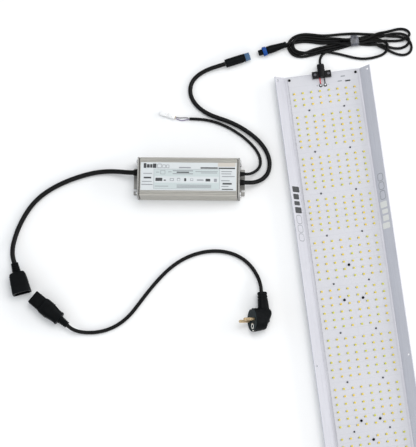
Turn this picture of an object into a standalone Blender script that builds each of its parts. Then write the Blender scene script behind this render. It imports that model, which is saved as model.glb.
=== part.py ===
"""LED grow light: a long LED board on a bent aluminium sheet, its driver and its leads.

The origin is the middle of the panel's back face. +Y runs towards the cable end and +Z out of
the LEDs, so everything lies on z = 0. Lengths are metres, and MM turns millimetres into them.
"""

import math

import bmesh
import bpy
import numpy as np
from mathutils import Vector

MM = 0.001
GAP = 0.3 * MM  # clearance between pieces that touch

# Panel: a sheet with both long edges bent up towards the LEDs
PANEL_LENGTH = 960 * MM
FLAT_WIDTH = 122 * MM
SHEET = 1.5 * MM
WING_LENGTH = 22.6 * MM  # straight part of a wing, past its fold
WING_ANGLE = math.radians(47)
FOLD_RADIUS = 1.2 * MM
WING_HOLE_RADIUS = 2.0 * MM
WING_HOLE_FROM_TIP = 6 * MM
WING_HOLE_ENDS = 474 * MM
BOARD_WIDTH = 114 * MM
BOARD_LENGTH = 956 * MM
BOARD_THICK = 1.6 * MM
BOARD_TOP = SHEET + GAP + BOARD_THICK

# Cable clamp on the board's end
CLAMP_X = -1 * MM
CLAMP_BASE = (31 * MM, 11 * MM, 4.6 * MM)
CLAMP_Y = 476.5 * MM
CLAMP_NECK_END = 493 * MM
CLAMP_NECK_RADIUS = 5.6 * MM
CLAMP_SCREW_X = 10.8 * MM
WIRE_X = 3.7 * MM
WIRE_RADIUS = 1.0 * MM
SOLDER_Y = 459.5 * MM

# Low-voltage connector pair, along one axis
NOSE_RADIUS = 4.7 * MM
NOSE_LENGTH = 14 * MM
RING_RADIUS = 7.7 * MM
SOCKET_START = 29.1 * MM
SOCKET_BORE = 5.1 * MM

# Driver
HOUSING_LENGTH = 157 * MM
DRIVER_WIDTH = 63 * MM
DRIVER_HEIGHT = 35.5 * MM
GASKET_THICK = 0.8 * MM
CAP_THICK = 2.5 * MM
CAP_INNER = HOUSING_LENGTH / 2 + GASKET_THICK + 2 * GAP
CAP_OUTER = CAP_INNER + CAP_THICK
TAB_END = 90 * MM
TAB_THICK = 2.5 * MM
SLOT_WIDTH = 4 * MM
GROOVE = 1.2 * MM  # width of the grooves along the housing, twice their depth
SIDE_GROOVES = (6.5 * MM, 14 * MM, 21.5 * MM, 32 * MM)
TOP_GROOVES = (28.6 * MM, 26.2 * MM)
CAP_SCREWS = [(side * 26 * MM, height * MM) for side in (-1, 1) for height in (5.6, 29)]
EXIT_Z = 17 * MM
LABEL_SIZE = (154 * MM, 46 * MM, 0.3 * MM)
OUTLETS = {  # name: (end, y, neck radius, flange radius), in millimetres
    "input": (-1, 10, 4.9, 6.0),
    "output": (1, -5, 4.6, 5.6),
    "dim": (1, 9, 3.4, 4.4),
}

# Where each group lies: x, y and z in millimetres, then its turn about Z in degrees
DC_PLACE = (-84.5, 528.2, 7.7, 10.5)
DRIVER_PLACE = (-237.2, 329.2, 0, -8.2)
DIM_PLACE = (-247, 437.8, 3.4, 154)
INLET_PLACE = (-526.3, 179.6, 12.1, -82.2)
CONNECTOR_PLACE = (-509.9, 171.7, 10.1, 133.1)
PLUG_PLACE = (-166, 86.8, 18.0, -2)
PLUG_TILT = math.radians(24)

# Cord radii, then the routes between the cords' ends in millimetres. Two numbers lie on the
# floor, and three have their own height.
PANEL_CORD = 2.15 * MM
OUTPUT_CORD = 3.5 * MM
DIM_CORD = 2.4 * MM
DIM_WIRE = 0.75 * MM
INPUT_CORD = 3.9 * MM
MAINS_CORD = 3.0 * MM
CLAMP_ROUTE = [(-1, 493.4, 8.3), (-1, 496.4, 8.3), (0.4, 502.5, 5.5), (3.4, 507.6, 3.4)]
OUTPUT_ROUTE = [
    (-130, 312, 9),
    (-112, 322, 4.4),
    (-104.5, 341),
    (-109.5, 367),
    (-131, 396),
    (-163, 420),
    (-189, 434),
    (-208, 451),
    (-217, 473),
    (-213, 491),
    (-197, 505, 4.4),
]
DIM_ROUTE = [
    (-133, 328, 8),
    (-121, 338, 4),
    (-119, 353),
    (-128, 374),
    (-149, 398),
    (-175, 417),
    (-198, 427),
    (-224, 432.5),
]
DIM_WIRE_ROUTE = [  # x, y, half the distance between the two wires, height
    (-224.8, 432.6, 1.1, 2.6),
    (-229, 433.6, 1.8, 1.6),
    (-236, 434, 2.4, 0.85),
    (-242, 435.6, 1.7, 1.6),
    (-246.2, 437.4, 1.3, 3.2),
]
INPUT_ROUTE = [
    (-352, 359, 9.5),
    (-381, 363, 4.6),
    (-412, 360),
    (-455, 348),
    (-487, 330),
    (-513, 301),
    (-529, 271, 5),
]
MAINS_ROUTE = [
    (-437, 105.2, 3.6),
    (-419, 102.6),
    (-389, 106.6),
    (-362, 121),
    (-341, 141),
    (-307, 174),
    (-278, 195),
    (-247, 207),
    (-212, 209),
    (-184, 201),
    (-162, 184),
    (-149, 161, 3.6),
]

# Hank of the panel's cord: x, lowest y, highest y of its outline, in millimetres
HANK_STATIONS = [
    (-53, 517, 528),
    (-49, 512, 530),
    (-45.6, 509.8, 530.4),
    (-45.4, 509.7, 544),
    (-38, 509, 548.5),
    (-30, 508.5, 550),
    (0, 511, 547),
    (30, 506, 542),
    (51, 499, 538),
    (52.8, 518, 531),
    (67.2, 518, 531),
    (69, 493, 538),
    (95, 493, 536),
    (118, 489, 537),
    (145, 489, 535),
    (153, 494, 528),
    (156, 502, 517),
]
HANK_BOTTOM = 0.9 * MM
HANK_TOP = 13 * MM
TIE_X = (53.4 * MM, 66.6 * MM)
TIE_THICK = 0.4 * MM

UPRIGHT = (0, -math.pi / 2, 0)  # turns a piece's +X up
AROUND = (0, 0, math.pi)  # turns a piece's +X to the other end

COLOURS = {
    "sheet": ((0.72, 0.72, 0.74), 0.4, 0.9),
    "board": ((0.78, 0.78, 0.80), 0.5, 0.0),
    "black_plastic": ((0.02, 0.02, 0.02), 0.5, 0.0),
    "black_rubber": ((0.015, 0.015, 0.015), 0.6, 0.0),
    "red_wire": ((0.55, 0.02, 0.03), 0.5, 0.0),
    "blue_plastic": ((0.0, 0.08, 0.42), 0.4, 0.0),
    "steel_blue": ((0.08, 0.2, 0.4), 0.4, 0.0),
    "tape": ((0.3, 0.31, 0.36), 0.3, 0.0),
    "extrusion": ((0.55, 0.53, 0.50), 0.45, 0.8),
    "cap_metal": ((0.45, 0.44, 0.42), 0.5, 0.8),
    "label": ((0.85, 0.86, 0.86), 0.4, 0.0),
    "steel": ((0.6, 0.6, 0.6), 0.3, 1.0),
    "brass": ((0.75, 0.6, 0.35), 0.3, 1.0),
    "white_plastic": ((0.85, 0.85, 0.83), 0.5, 0.0),
    "circuit": ((0.03, 0.2, 0.08), 0.5, 0.0),
    "grey_wire": ((0.35, 0.3, 0.4), 0.5, 0.0),
}


def clear_scene():
    for obj in list(bpy.data.objects):
        bpy.data.objects.remove(obj)


def material(name):
    found = bpy.data.materials.get(name)
    if found:
        return found
    colour, roughness, metallic = COLOURS[name]
    made = bpy.data.materials.new(name)
    made.use_nodes = True
    shader = made.node_tree.nodes["Principled BSDF"]
    shader.inputs["Base Color"].default_value = (*colour, 1)
    shader.inputs["Roughness"].default_value = roughness
    shader.inputs["Metallic"].default_value = metallic
    return made


def link(obj, parent=None, location=(0, 0, 0), rotation=(0, 0, 0)):
    bpy.context.scene.collection.objects.link(obj)
    obj.parent = parent
    obj.location = location
    obj.rotation_euler = rotation
    return obj


def place(name, where, tilt=0.0):
    """An empty whose local axes a group of pieces is built on."""
    location = [value * MM for value in where[:3]]
    rotation = (0, tilt, math.radians(where[3]))
    return link(bpy.data.objects.new(name, None), None, location, rotation)


def at(group, x, y, z):
    """The world position of a point in a group's own axes."""
    return group.matrix_basis @ Vector((x, y, z))


def add(name, bm, colour, parent=None, location=(0, 0, 0), rotation=(0, 0, 0)):
    bmesh.ops.recalc_face_normals(bm, faces=bm.faces)
    mesh = bpy.data.meshes.new(name)
    bm.to_mesh(mesh)
    bm.free()
    mesh.materials.append(material(colour))
    mesh.shade_smooth()
    mesh.set_sharp_from_angle(angle=math.radians(35))
    return link(bpy.data.objects.new(name, mesh), parent, location, rotation)


def tool(name, bm, parent=None, location=(0, 0, 0), rotation=(0, 0, 0)):
    """A helper for a Boolean, which isn't a piece of the object."""
    obj = add(name, bm, "steel", parent, location, rotation)
    obj.hide_render = True
    obj.display_type = "WIRE"
    return obj


def boolean(obj, other, operation="DIFFERENCE"):
    modifier = obj.modifiers.new(other.name, "BOOLEAN")
    modifier.operation = operation
    modifier.object = other


def bridge(bm, first, second):
    """Faces between two rings of vertices, either of which may be a single tip."""
    count = max(len(first), len(second))
    for i in range(count):
        j = (i + 1) % count
        if len(first) == 1:
            bm.faces.new((first[0], second[j], second[i]))
        elif len(second) == 1:
            bm.faces.new((first[i], first[j], second[0]))
        else:
            bm.faces.new((first[i], first[j], second[j], second[i]))


def loft(rings, looped=False, bm=None):
    """A closed skin through rings. It is capped at both ends, unless it loops back to its start."""
    bm = bm or bmesh.new()
    rows = [[bm.verts.new(point) for point in ring] for ring in rings]
    following = rows[1:] + rows[:1] if looped else rows[1:]
    for first, second in zip(rows, following):
        bridge(bm, first, second)
    for row in () if looped else (rows[0], rows[-1]):
        if len(row) > 2:
            bm.faces.new(row)
    return bm


def circle(x, radius, steps, y=0.0, z=0.0):
    if radius == 0:
        return [(x, y, z)]
    turns = [2 * math.pi * i / steps for i in range(steps)]
    return [(x, y + radius * math.cos(a), z + radius * math.sin(a)) for a in turns]


def turned(profile, steps=20, looped=False, y=0.0, z=0.0, bm=None):
    """A solid turned about a line along X. The profile lists (x, radius) in millimetres."""
    rings = [circle(x * MM, radius * MM, steps, y, z) for x, radius in profile]
    return loft(rings, looped, bm)


def rounded_ring(x, half_y, half_z, power, y=0.0, steps=24):
    """A ring between an ellipse, at power 2, and a rectangle. Sizes are in millimetres."""
    ring = []
    for i in range(steps):
        turn = 2 * math.pi * (i + 0.5) / steps
        across, up = math.cos(turn), math.sin(turn)
        reach = (abs(across) ** power + abs(up) ** power) ** (-1 / power)
        ring.append((x * MM, (y + half_y * across * reach) * MM, half_z * MM * up * reach))
    return ring


def block(size, centre=(0, 0, 0), bm=None):
    x, y, z = (side / 2 for side in size)
    corners = [(-x, -y), (x, -y), (x, y), (-x, y)]
    rings = [
        [(centre[0] + a, centre[1] + b, centre[2] + h) for a, b in corners] for h in (-z, z)
    ]
    return loft(rings, bm=bm)


def prism(outline, low, high, order):
    """An outline of (a, b) points, extruded from low to high. Order says which axis each
    coordinate goes to: "xzy" puts a on X, b on Z and the extrusion on Y."""
    slots = ["xyz".index(axis) for axis in order]
    rings = []
    for depth in (low, high):
        ring = []
        for a, b in outline:
            point = [0, 0, 0]
            for slot, value in zip(slots, (a, b, depth)):
                point[slot] = value
            ring.append(point)
        rings.append(ring)
    return loft(rings)


def rod(start, end, radius, steps=16, bm=None):
    """A round bar between two points."""
    start, end = Vector(start), Vector(end)
    turn = (end - start).to_track_quat("X", "Z")
    ring = [turn @ Vector(point) for point in circle(0, radius, steps)]
    return loft([[base + point for point in ring] for base in (start, end)], bm=bm)


def arc(centre, radius, start, end, steps):
    """Points of an arc between two angles in degrees."""
    angles = [math.radians(start + (end - start) * i / steps) for i in range(steps + 1)]
    return [
        (centre[0] + radius * math.cos(a), centre[1] + radius * math.sin(a)) for a in angles
    ]


def smooth(points, spacing, lead):
    """Points at an even spacing along a natural cubic spline through the given ones, with one
    more at a short lead from each end, so that the ends point straight out."""
    points = np.array([list(point) for point in points], float)
    steps = np.linalg.norm(np.diff(points, axis=0), axis=1)
    knots = np.concatenate([[0.0], np.cumsum(steps)])
    count = len(points)
    system = np.eye(count)
    right = np.zeros((count, 3))
    slopes = np.diff(points, axis=0) / steps[:, None]
    for i in range(1, count - 1):
        system[i, i - 1 : i + 2] = (steps[i - 1], 2 * (steps[i - 1] + steps[i]), steps[i])
        right[i] = 6 * (slopes[i] - slopes[i - 1])
    bends = np.linalg.solve(system, right)
    total = knots[-1]
    even = np.linspace(0, total, max(3, round(total / spacing) + 1))
    wanted = np.concatenate([[0, lead], even[1:-1], [total - lead, total]])
    spans = np.clip(np.searchsorted(knots, wanted, "right") - 1, 0, count - 2)
    result = []
    for where, i in zip(wanted, spans):
        h = steps[i]
        before = knots[i + 1] - where
        after = where - knots[i]
        curved = (bends[i] * before**3 + bends[i + 1] * after**3) / (6 * h)
        start = (points[i] / h - bends[i] * h / 6) * before
        end = (points[i + 1] / h - bends[i + 1] * h / 6) * after
        result.append(curved + start + end)
    return result


def tube(name, route, radius, colour, spacing_diameters=2.5, resolution=3):
    """A cord's plain solid along a smooth curve through its route."""
    points = smooth(route, spacing_diameters * 2 * radius, radius)
    curve = bpy.data.curves.new(name, "CURVE")
    curve.dimensions = "3D"
    curve.bevel_depth = radius
    curve.bevel_resolution = resolution
    curve.use_fill_caps = True
    spline = curve.splines.new("POLY")
    spline.points.add(len(points) - 1)
    for target, point in zip(spline.points, points):
        target.co = (*point, 1)
    curve.materials.append(material(colour))
    return link(bpy.data.objects.new(name, curve))


def floor_route(radius, points):
    """A route's points in metres, with a cord of this radius just above the floor."""
    return [
        Vector((p[0] * MM, p[1] * MM, p[2] * MM if len(p) == 3 else radius + 0.1 * MM))
        for p in points
    ]


# Panel


def sheet_outline():
    """Section of the bent sheet as (x, z), and the middle of its right wing's tip."""
    fold = FLAT_WIDTH / 2
    outer = FOLD_RADIUS + SHEET
    turn_end = math.degrees(WING_ANGLE) - 90
    up_wing = Vector((math.cos(WING_ANGLE), math.sin(WING_ANGLE))) * WING_LENGTH
    back = arc((fold, outer), outer, -90, turn_end, 4)
    front = arc((fold, outer), FOLD_RADIUS, turn_end, -90, 4)
    tip_back = Vector(back[-1]) + up_wing
    tip_front = Vector(front[0]) + up_wing
    right = back + [tip_back, tip_front] + front
    left = [(-x, z) for x, z in reversed(right)]
    return right + left, (tip_back + tip_front) / 2


def make_tray(screw_holes):
    outline, tip = sheet_outline()
    half = PANEL_LENGTH / 2
    tray = add("heat_sink_tray", prism(outline, -half, half, "xzy"), "sheet")
    up_wing = Vector((math.cos(WING_ANGLE), math.sin(WING_ANGLE)))
    hole = tip - up_wing * WING_HOLE_FROM_TIP
    through = Vector((math.sin(WING_ANGLE), -math.cos(WING_ANGLE))) * 2 * SHEET
    holes = bmesh.new()
    for side in (-1, 1):
        for y in (-WING_HOLE_ENDS, 0, WING_HOLE_ENDS):
            inner, outer = hole - through, hole + through
            start = (side * inner.x, y, inner.y)
            end = (side * outer.x, y, outer.y)
            rod(start, end, WING_HOLE_RADIUS, bm=holes)
    boolean(tray, tool("wing_hole_tool", holes))
    boolean(tray, screw_holes)


def make_panel():
    screws = bmesh.new()
    for side in (-1, 1):
        x = CLAMP_X + side * CLAMP_SCREW_X
        rod((x, CLAMP_Y, -2 * MM), (x, CLAMP_Y, 20 * MM), 1.7 * MM, bm=screws)
    screw_holes = tool("clamp_screw_tool", screws)
    make_tray(screw_holes)
    board_z = SHEET + GAP + BOARD_THICK / 2
    size = (BOARD_WIDTH, BOARD_LENGTH, BOARD_THICK)
    boolean(add("led_board", block(size, (0, 0, board_z)), "board"), screw_holes)
    make_clamp(screw_holes)
    make_board_wires()


def make_clamp(screw_holes):
    """A T of black plastic: a foot across the board's end and a neck that grips the cord."""
    foot_bottom = BOARD_TOP + GAP
    width, depth, height = CLAMP_BASE
    foot_z = foot_bottom + height / 2
    clamp = add("cable_clamp", block(CLAMP_BASE, (CLAMP_X, CLAMP_Y, foot_z)), "black_plastic")
    radius = CLAMP_NECK_RADIUS
    arch = arc((CLAMP_X, foot_bottom + 4 * MM), radius, 0, 180, 8)
    arch += [(CLAMP_X - radius, foot_bottom), (CLAMP_X + radius, foot_bottom)]
    # The neck starts just inside the foot's front face, so that no two faces coincide.
    neck = prism(arch, CLAMP_Y - depth / 2 + 0.2 * MM, CLAMP_NECK_END, "xzy")
    for vert in neck.verts:
        vert.co.z = max(vert.co.z, foot_bottom + 0.2 * MM)
    boolean(clamp, tool("clamp_neck_tool", neck), "UNION")
    boolean(clamp, screw_holes)
    top = foot_bottom + height
    for side, name in ((-1, "left"), (1, "right")):
        x = CLAMP_X + side * CLAMP_SCREW_X
        # Turned about Z: (height, radius), from the shank's end up to the head's crown.
        profile = [(0.4, 0), (0.4, 1.4), (top / MM + 0.3, 1.4), (top / MM + 0.3, 2.6)]
        profile += [(top / MM + 1.3, 2.5), (top / MM + 1.9, 1.5), (top / MM + 1.9, 0)]
        screw = turned(profile, 16)
        add(f"clamp_screw_{name}", screw, "steel", None, (x, CLAMP_Y, 0), UPRIGHT)


def make_board_wires():
    """The cord's two cores, from the clamp's foot down to their solder joints."""
    start_y = CLAMP_Y - CLAMP_BASE[1] / 2 - GAP
    for side, name, colour in ((-1, "red", "red_wire"), (1, "black", "black_rubber")):
        x = CLAMP_X + side * WIRE_X
        dome = [(0, 0), (0, 2.2), (0.5, 2.1), (1.2, 1.5), (1.6, 0.8), (1.7, 0)]
        location = (x, SOLDER_Y, BOARD_TOP + GAP)
        add(f"solder_joint_{name}", turned(dome, 14), "steel", None, location, UPRIGHT)
        low = BOARD_TOP + GAP + WIRE_RADIUS
        route = [
            Vector((x, start_y, low + 1.4 * MM)),
            Vector((x, start_y - 3 * MM, low + 1.2 * MM)),
            Vector((x, SOLDER_Y + 5 * MM, low + 0.2 * MM)),
            Vector((x, SOLDER_Y + 2.6 * MM, low + 0.1 * MM)),
        ]
        tube(f"wire_{name}", route, WIRE_RADIUS, colour, 1.2, 2)


# Panel's cord


def hank_outline():
    lower = [(x * MM, low * MM) for x, low, _ in HANK_STATIONS]
    upper = [(x * MM, high * MM) for x, _, high in HANK_STATIONS]
    return lower + upper[::-1]


def make_hank():
    hank = prism(hank_outline(), HANK_BOTTOM, HANK_TOP, "xyz")
    add("panel_cord_hank", hank, "black_rubber")
    waist = [station for station in HANK_STATIONS if TIE_X[0] - 0.002 < station[0] * MM][0]
    low = waist[1] * MM - GAP
    high = waist[2] * MM + GAP
    bottom, top = HANK_BOTTOM - GAP, HANK_TOP + GAP
    thick = TIE_THICK
    inside = [(low, bottom), (high, bottom), (high, top), (low, top)]
    outside = [
        (low - thick, bottom - thick),
        (high + thick, bottom - thick),
        (high + thick, top + thick),
        (low - thick, top + thick),
    ]
    rings = []
    for x, corners in (
        (TIE_X[0], outside),
        (TIE_X[1], outside),
        (TIE_X[1], inside),
        (TIE_X[0], inside),
    ):
        rings.append([(x, y, z) for y, z in corners])
    add("hank_tie", loft(rings, looped=True), "tape")


def make_panel_cord(dc):
    out = floor_route(PANEL_CORD, CLAMP_ROUTE)
    tube("panel_cord_out", out, PANEL_CORD, "black_rubber", 1.2)
    tail = [at(dc, x * MM, 0, 0) for x in (34.4, 36.5, 38.7)]
    tube("panel_cord_tail", tail, PANEL_CORD, "black_rubber", 1)


# Low-voltage connectors. In their own axes +X runs from the mouth to the panel's cord.


def make_male_connector(dc):
    nose_radius = NOSE_RADIUS / MM
    length = NOSE_LENGTH / MM
    wall = 1.0
    grip = [(0.3, 0), (0.3, 6.2), (1, 6.7), (14, 6.4), (24, 5.2), (31, 4.0), (34, 3.4), (34, 0)]
    add("male_connector_body", turned(grip), "black_plastic", dc)
    nose = [(0, 0), (0, nose_radius), (-length, nose_radius)]
    nose += [(-length, nose_radius - wall), (-3, nose_radius - wall), (-3, 0)]
    add("male_connector_nose", turned(nose), "black_plastic", dc)
    pin = [(-3.3, 0), (-3.3, 0.8), (-12, 0.8), (-12.5, 0.4), (-12.5, 0)]
    for side, name in ((-1, "lower"), (1, "upper")):
        contact = turned(pin, 10, z=side * 1.6 * MM)
        add(f"male_contact_pin_{name}", contact, "brass", dc)
    outer = RING_RADIUS / MM
    ring = [(-0.3, 5.2), (-0.3, outer - 0.5), (-0.8, outer), (-6.3, outer), (-6.8, outer - 0.5)]
    ring += [(-6.8, 6.9), (-1.8, 6.9), (-1.8, 5.2)]
    add("lock_ring", turned(ring, 24, looped=True), "blue_plastic", dc)


def make_female_connector(dc):
    front = -SOCKET_START / MM
    bore = SOCKET_BORE / MM
    sleeve = [(front, bore), (front, 6.2), (front - 0.4, 6.5), (-37, 6.5), (-37, bore)]
    add("female_connector_sleeve", turned(sleeve, looped=True), "steel_blue", dc)
    insert = [(-31.5, 0), (-31.5, 3.4), (-43.2, 3.4), (-43.2, 0)]
    holes = bmesh.new()
    for side in (-1, 1):
        z = side * 1.6 * MM
        rod((-30 * MM, 0, z), (-42.5 * MM, 0, z), 1.1 * MM, 10, holes)
    socket = add("female_connector_insert", turned(insert), "black_plastic", dc)
    boolean(socket, tool("contact_hole_tool", holes, dc))
    body = [(-43.5, 0), (-43.5, bore), (-37.3, bore), (-37.3, 6.9), (-62, 6.8), (-69.5, 6.5)]
    body += [(-70.7, 5.6), (-70.7, 0)]
    add("female_connector_body", turned(body), "black_plastic", dc)


# Driver. In its own axes +X runs to the output end and +Y to its far long side.


def housing_outline():
    half = DRIVER_WIDTH / 2
    top = DRIVER_HEIGHT
    recess = LABEL_SIZE[1] / 2 + 1 * MM
    right = [(half - 1.2 * MM, 0), (half, 1.2 * MM)]
    for height in SIDE_GROOVES:
        deep = half - GROOVE / 2
        right += [(half, height - GROOVE), (deep, height - GROOVE / 2)]
        right += [(deep, height + GROOVE / 2), (half, height + GROOVE)]
    right += [(half, top - 1.2 * MM), (half - 1.2 * MM, top)]
    for across in TOP_GROOVES:
        right += [(across + GROOVE / 2, top), (across, top - GROOVE / 2), (across - GROOVE / 2, top)]
    right += [(recess + 0.4 * MM, top), (recess, top - 0.6 * MM)]
    return right + [(-y, z) for y, z in reversed(right)]


def make_housing(driver):
    half = HOUSING_LENGTH / 2
    housing = add("driver_housing", prism(housing_outline(), -half, half, "yzx"), "extrusion", driver)
    cavity = block((2 * HOUSING_LENGTH, 58.6 * MM, 30 * MM), (0, 0, 17.2 * MM))
    boolean(housing, tool("housing_cavity_tool", cavity, driver))
    bosses, holes = bmesh.new(), bmesh.new()
    for y, z in CAP_SCREWS:
        rod((-half + 0.01 * MM, y, z), (half - 0.01 * MM, y, z), 4 * MM, 12, bosses)
        rod((-HOUSING_LENGTH, y, z), (HOUSING_LENGTH, y, z), 1.65 * MM, 12, holes)
    boolean(housing, tool("screw_boss_tool", bosses, driver), "UNION")
    boolean(housing, tool("screw_hole_tool", holes, driver))
    label_z = DRIVER_HEIGHT - 0.6 * MM + GAP + LABEL_SIZE[2] / 2
    add("driver_label", block(LABEL_SIZE, (0, 0, label_z)), "label", driver)


def make_driver_end(driver, side, name):
    outlets = [spec for spec in OUTLETS.values() if spec[0] == side]
    inner = HOUSING_LENGTH / 2 + GAP
    screw_holes = bpy.data.objects["screw_hole_tool"]
    width, height = DRIVER_WIDTH - 1.4 * MM, DRIVER_HEIGHT - 1.2 * MM
    centre = (side * (inner + GASKET_THICK / 2), 0, DRIVER_HEIGHT / 2)
    gasket = add(f"gasket_{name}", block((GASKET_THICK, width, height), centre), "black_rubber", driver)
    window = block((3 * GASKET_THICK, 38 * MM, 17 * MM), (centre[0], 0, EXIT_Z))
    boolean(gasket, tool(f"gasket_window_tool_{name}", window, driver))
    boolean(gasket, screw_holes)

    centre = (side * (CAP_INNER + CAP_THICK / 2), 0, DRIVER_HEIGHT / 2)
    plate = block((CAP_THICK, DRIVER_WIDTH, DRIVER_HEIGHT), centre)
    cap = add(f"end_cap_{name}", plate, "cap_metal", driver)
    tab = tool(f"tab_tool_{name}", prism(tab_outline(side), 0.02 * MM, TAB_THICK, "xyz"), driver)
    boolean(cap, tab, "UNION")
    boolean(cap, screw_holes)
    openings = bmesh.new()
    for _, y, neck, _ in outlets:
        start = (side * (CAP_INNER - 2 * MM), y * MM, EXIT_Z)
        end = (side * (CAP_OUTER + 2 * MM), y * MM, EXIT_Z)
        rod(start, end, (neck + 0.3) * MM, 20, openings)
    boolean(cap, tool(f"outlet_tool_{name}", openings, driver))

    turn = (0, 0, 0) if side > 0 else AROUND
    face = CAP_OUTER / MM + 0.3
    screw = [(72, 0), (72, 1.3), (face, 1.3), (face, 2.6), (face + 1.2, 2.5)]
    screw += [(face + 1.8, 1.6), (face + 1.8, 0)]
    for i, (y, z) in enumerate(CAP_SCREWS, 1):
        add(f"cap_screw_{name}_{i}", turned(screw, 12), "steel", driver, (0, y, z), turn)


def tab_outline(side):
    """A mounting tab, its open slot and the small ear beyond it."""
    start = CAP_INNER + 0.6 * MM
    slot_y = -15.7 * MM
    half = SLOT_WIDTH / 2
    slot_end = TAB_END - 3.7 * MM
    outline = [(start, -24 * MM), (TAB_END - 1 * MM, -24 * MM), (TAB_END, -23 * MM)]
    outline += [(TAB_END, slot_y - half)]
    outline += arc((slot_end, slot_y), half, 270, 90, 8)
    outline += [(TAB_END, slot_y + half), (TAB_END, 18.6 * MM)]
    outline += [(TAB_END - 1 * MM, 19.6 * MM), (start, 19.6 * MM)]
    return [(side * x, y) for x, y in outline]


def make_grommets(driver):
    face = CAP_OUTER / MM + 0.3
    for name, (side, y, neck, flange) in OUTLETS.items():
        profile = [(79, 0), (79, neck), (face, neck), (face, flange), (face + 1.2, flange - 0.4)]
        profile += [(face + 2, flange - 1.2), (face + 2, 0)]
        turn = (0, 0, 0) if side > 0 else AROUND
        location = (0, y * MM, EXIT_Z)
        add(f"{name}_grommet", turned(profile), "black_rubber", driver, location, turn)


def make_driver_inside(driver):
    board_top = 4.3 * MM
    board = block((144 * MM, 42 * MM, 1.6 * MM), (0, 0, board_top - 0.8 * MM))
    add("driver_circuit_board", board, "circuit", driver)
    size = (36 * MM, 30 * MM, 20 * MM)
    transformer = block(size, (-12 * MM, 0, board_top + GAP + size[2] / 2))
    add("driver_transformer", transformer, "black_plastic", driver)
    can = [(0, 0), (0, 8.6), (0.4, 9), (21.6, 9), (22, 8.6), (22, 0)]
    location = (46 * MM, 0, board_top + GAP)
    add("driver_capacitor", turned(can), "black_plastic", driver, location, UPRIGHT)


def outlet_point(driver, name, beyond):
    """A point on the line of an outlet, a distance beyond its grommet, in millimetres."""
    side, y, _, _ = OUTLETS[name]
    return at(driver, side * (CAP_OUTER + (2.7 + beyond) * MM), y * MM, EXIT_Z)


# Low-voltage and dimming cords


def make_output_cord(driver, dc):
    start = [outlet_point(driver, "output", 0), outlet_point(driver, "output", 8)]
    end = [at(dc, -79 * MM, 0, 0), at(dc, -71.3 * MM, 0, 0)]
    middle = floor_route(OUTPUT_CORD, OUTPUT_ROUTE)
    tube("output_cord", start + middle + end, OUTPUT_CORD, "black_rubber")


def make_dim_cord(driver):
    start = [outlet_point(driver, "dim", 0), outlet_point(driver, "dim", 6)]
    middle = floor_route(DIM_CORD, DIM_ROUTE)
    tube("dim_cord", start + middle, DIM_CORD, "black_rubber")
    for side, name in ((-1, "minus"), (1, "plus")):
        wire = [(x, y + side * apart, z) for x, y, apart, z in DIM_WIRE_ROUTE]
        wire = floor_route(DIM_WIRE, wire)
        tube(f"dim_wire_{name}", wire, DIM_WIRE, "grey_wire", 2.5, 2)
    plug = place("dim_connector", DIM_PLACE)
    socket = block((12.6 * MM, 6.6 * MM, 5.6 * MM), (6.6 * MM, 0, 0))
    add("dim_connector_socket", socket, "white_plastic", plug)
    cap = block((12.4 * MM, 7.4 * MM, 6.4 * MM), (19.4 * MM, 0, 0))
    add("dim_connector_cap", cap, "white_plastic", plug)


# Appliance inlet plug on the driver's input cord. In its own axes +X runs out of its mouth.


def make_inlet_plug(inlet):
    sections = [
        (-51, 4.6, 4.6, 2),
        (-48, 5.2, 5.2, 2),
        (-37, 6.4, 6.4, 2),
        (-35, 8.5, 8.0, 2.5),
        (-34, 11.6, 9.6, 4),
        (-32, 12.6, 10.4, 6),
        (-12, 14.6, 11.6, 7),
        (-1, 15.5, 12, 7),
        (0, 15.2, 11.7, 7),
    ]
    rings = [rounded_ring(*section) for section in sections]
    body = add("c14_plug_body", loft(rings), "black_plastic", inlet)
    half_y, half_z, cut = 12.3 * MM, 8.4 * MM, 4.5 * MM
    mouth = [(-half_y, -half_z), (half_y, -half_z), (half_y, half_z - cut)]
    mouth += [(half_y - cut, half_z), (-half_y + cut, half_z), (-half_y, half_z - cut)]
    boolean(body, tool("c14_mouth_tool", prism(mouth, -16.5 * MM, 2 * MM, "yzx"), inlet))
    for name, y, z in (("line", -7, -2), ("neutral", 7, -2), ("earth", 0, 2)):
        blade = block((14 * MM, 2 * MM, 4 * MM), (-9.2 * MM, y * MM, z * MM))
        add(f"c14_pin_{name}", blade, "steel", inlet)


def make_input_cord(driver, inlet):
    start = [outlet_point(driver, "input", 0), outlet_point(driver, "input", 9)]
    end = [at(inlet, -60 * MM, 0, 0), at(inlet, -51.6 * MM, 0, 0)]
    middle = floor_route(INPUT_CORD, INPUT_ROUTE)
    tube("input_cord", start + middle + end, INPUT_CORD, "black_rubber")


# Mains lead. In the appliance connector's own axes +X runs out of its front.


def make_appliance_connector(connector):
    sections = [
        (-72.7, 3.8, 3.8, 2),
        (-60, 5.2, 5.2, 2),
        (-57.5, 6.6, 6.4, 2),
        (-56, 9.6, 8.0, 3),
        (-53, 12, 9.4, 5),
        (-38, 12.6, 10, 6),
        (-21, 12.5, 9.8, 6),
        (-19.6, 11.5, 7.7, 8),
        (-1, 11.4, 7.7, 8),
        (0, 11, 7.4, 8),
    ]
    rings = [rounded_ring(*section) for section in sections]
    body = add("c13_connector_body", loft(rings), "black_plastic", connector)
    slots = bmesh.new()
    for y, z in ((-7, -2), (7, -2), (0, 2)):
        block((32 * MM, 2.7 * MM, 4.7 * MM), (1 * MM, y * MM, z * MM), slots)
    boolean(body, tool("c13_slot_tool", slots, connector))


# Wall plug, lying on its side. In its own axes +X runs from its face to its back, +Y to its cord.


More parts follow.
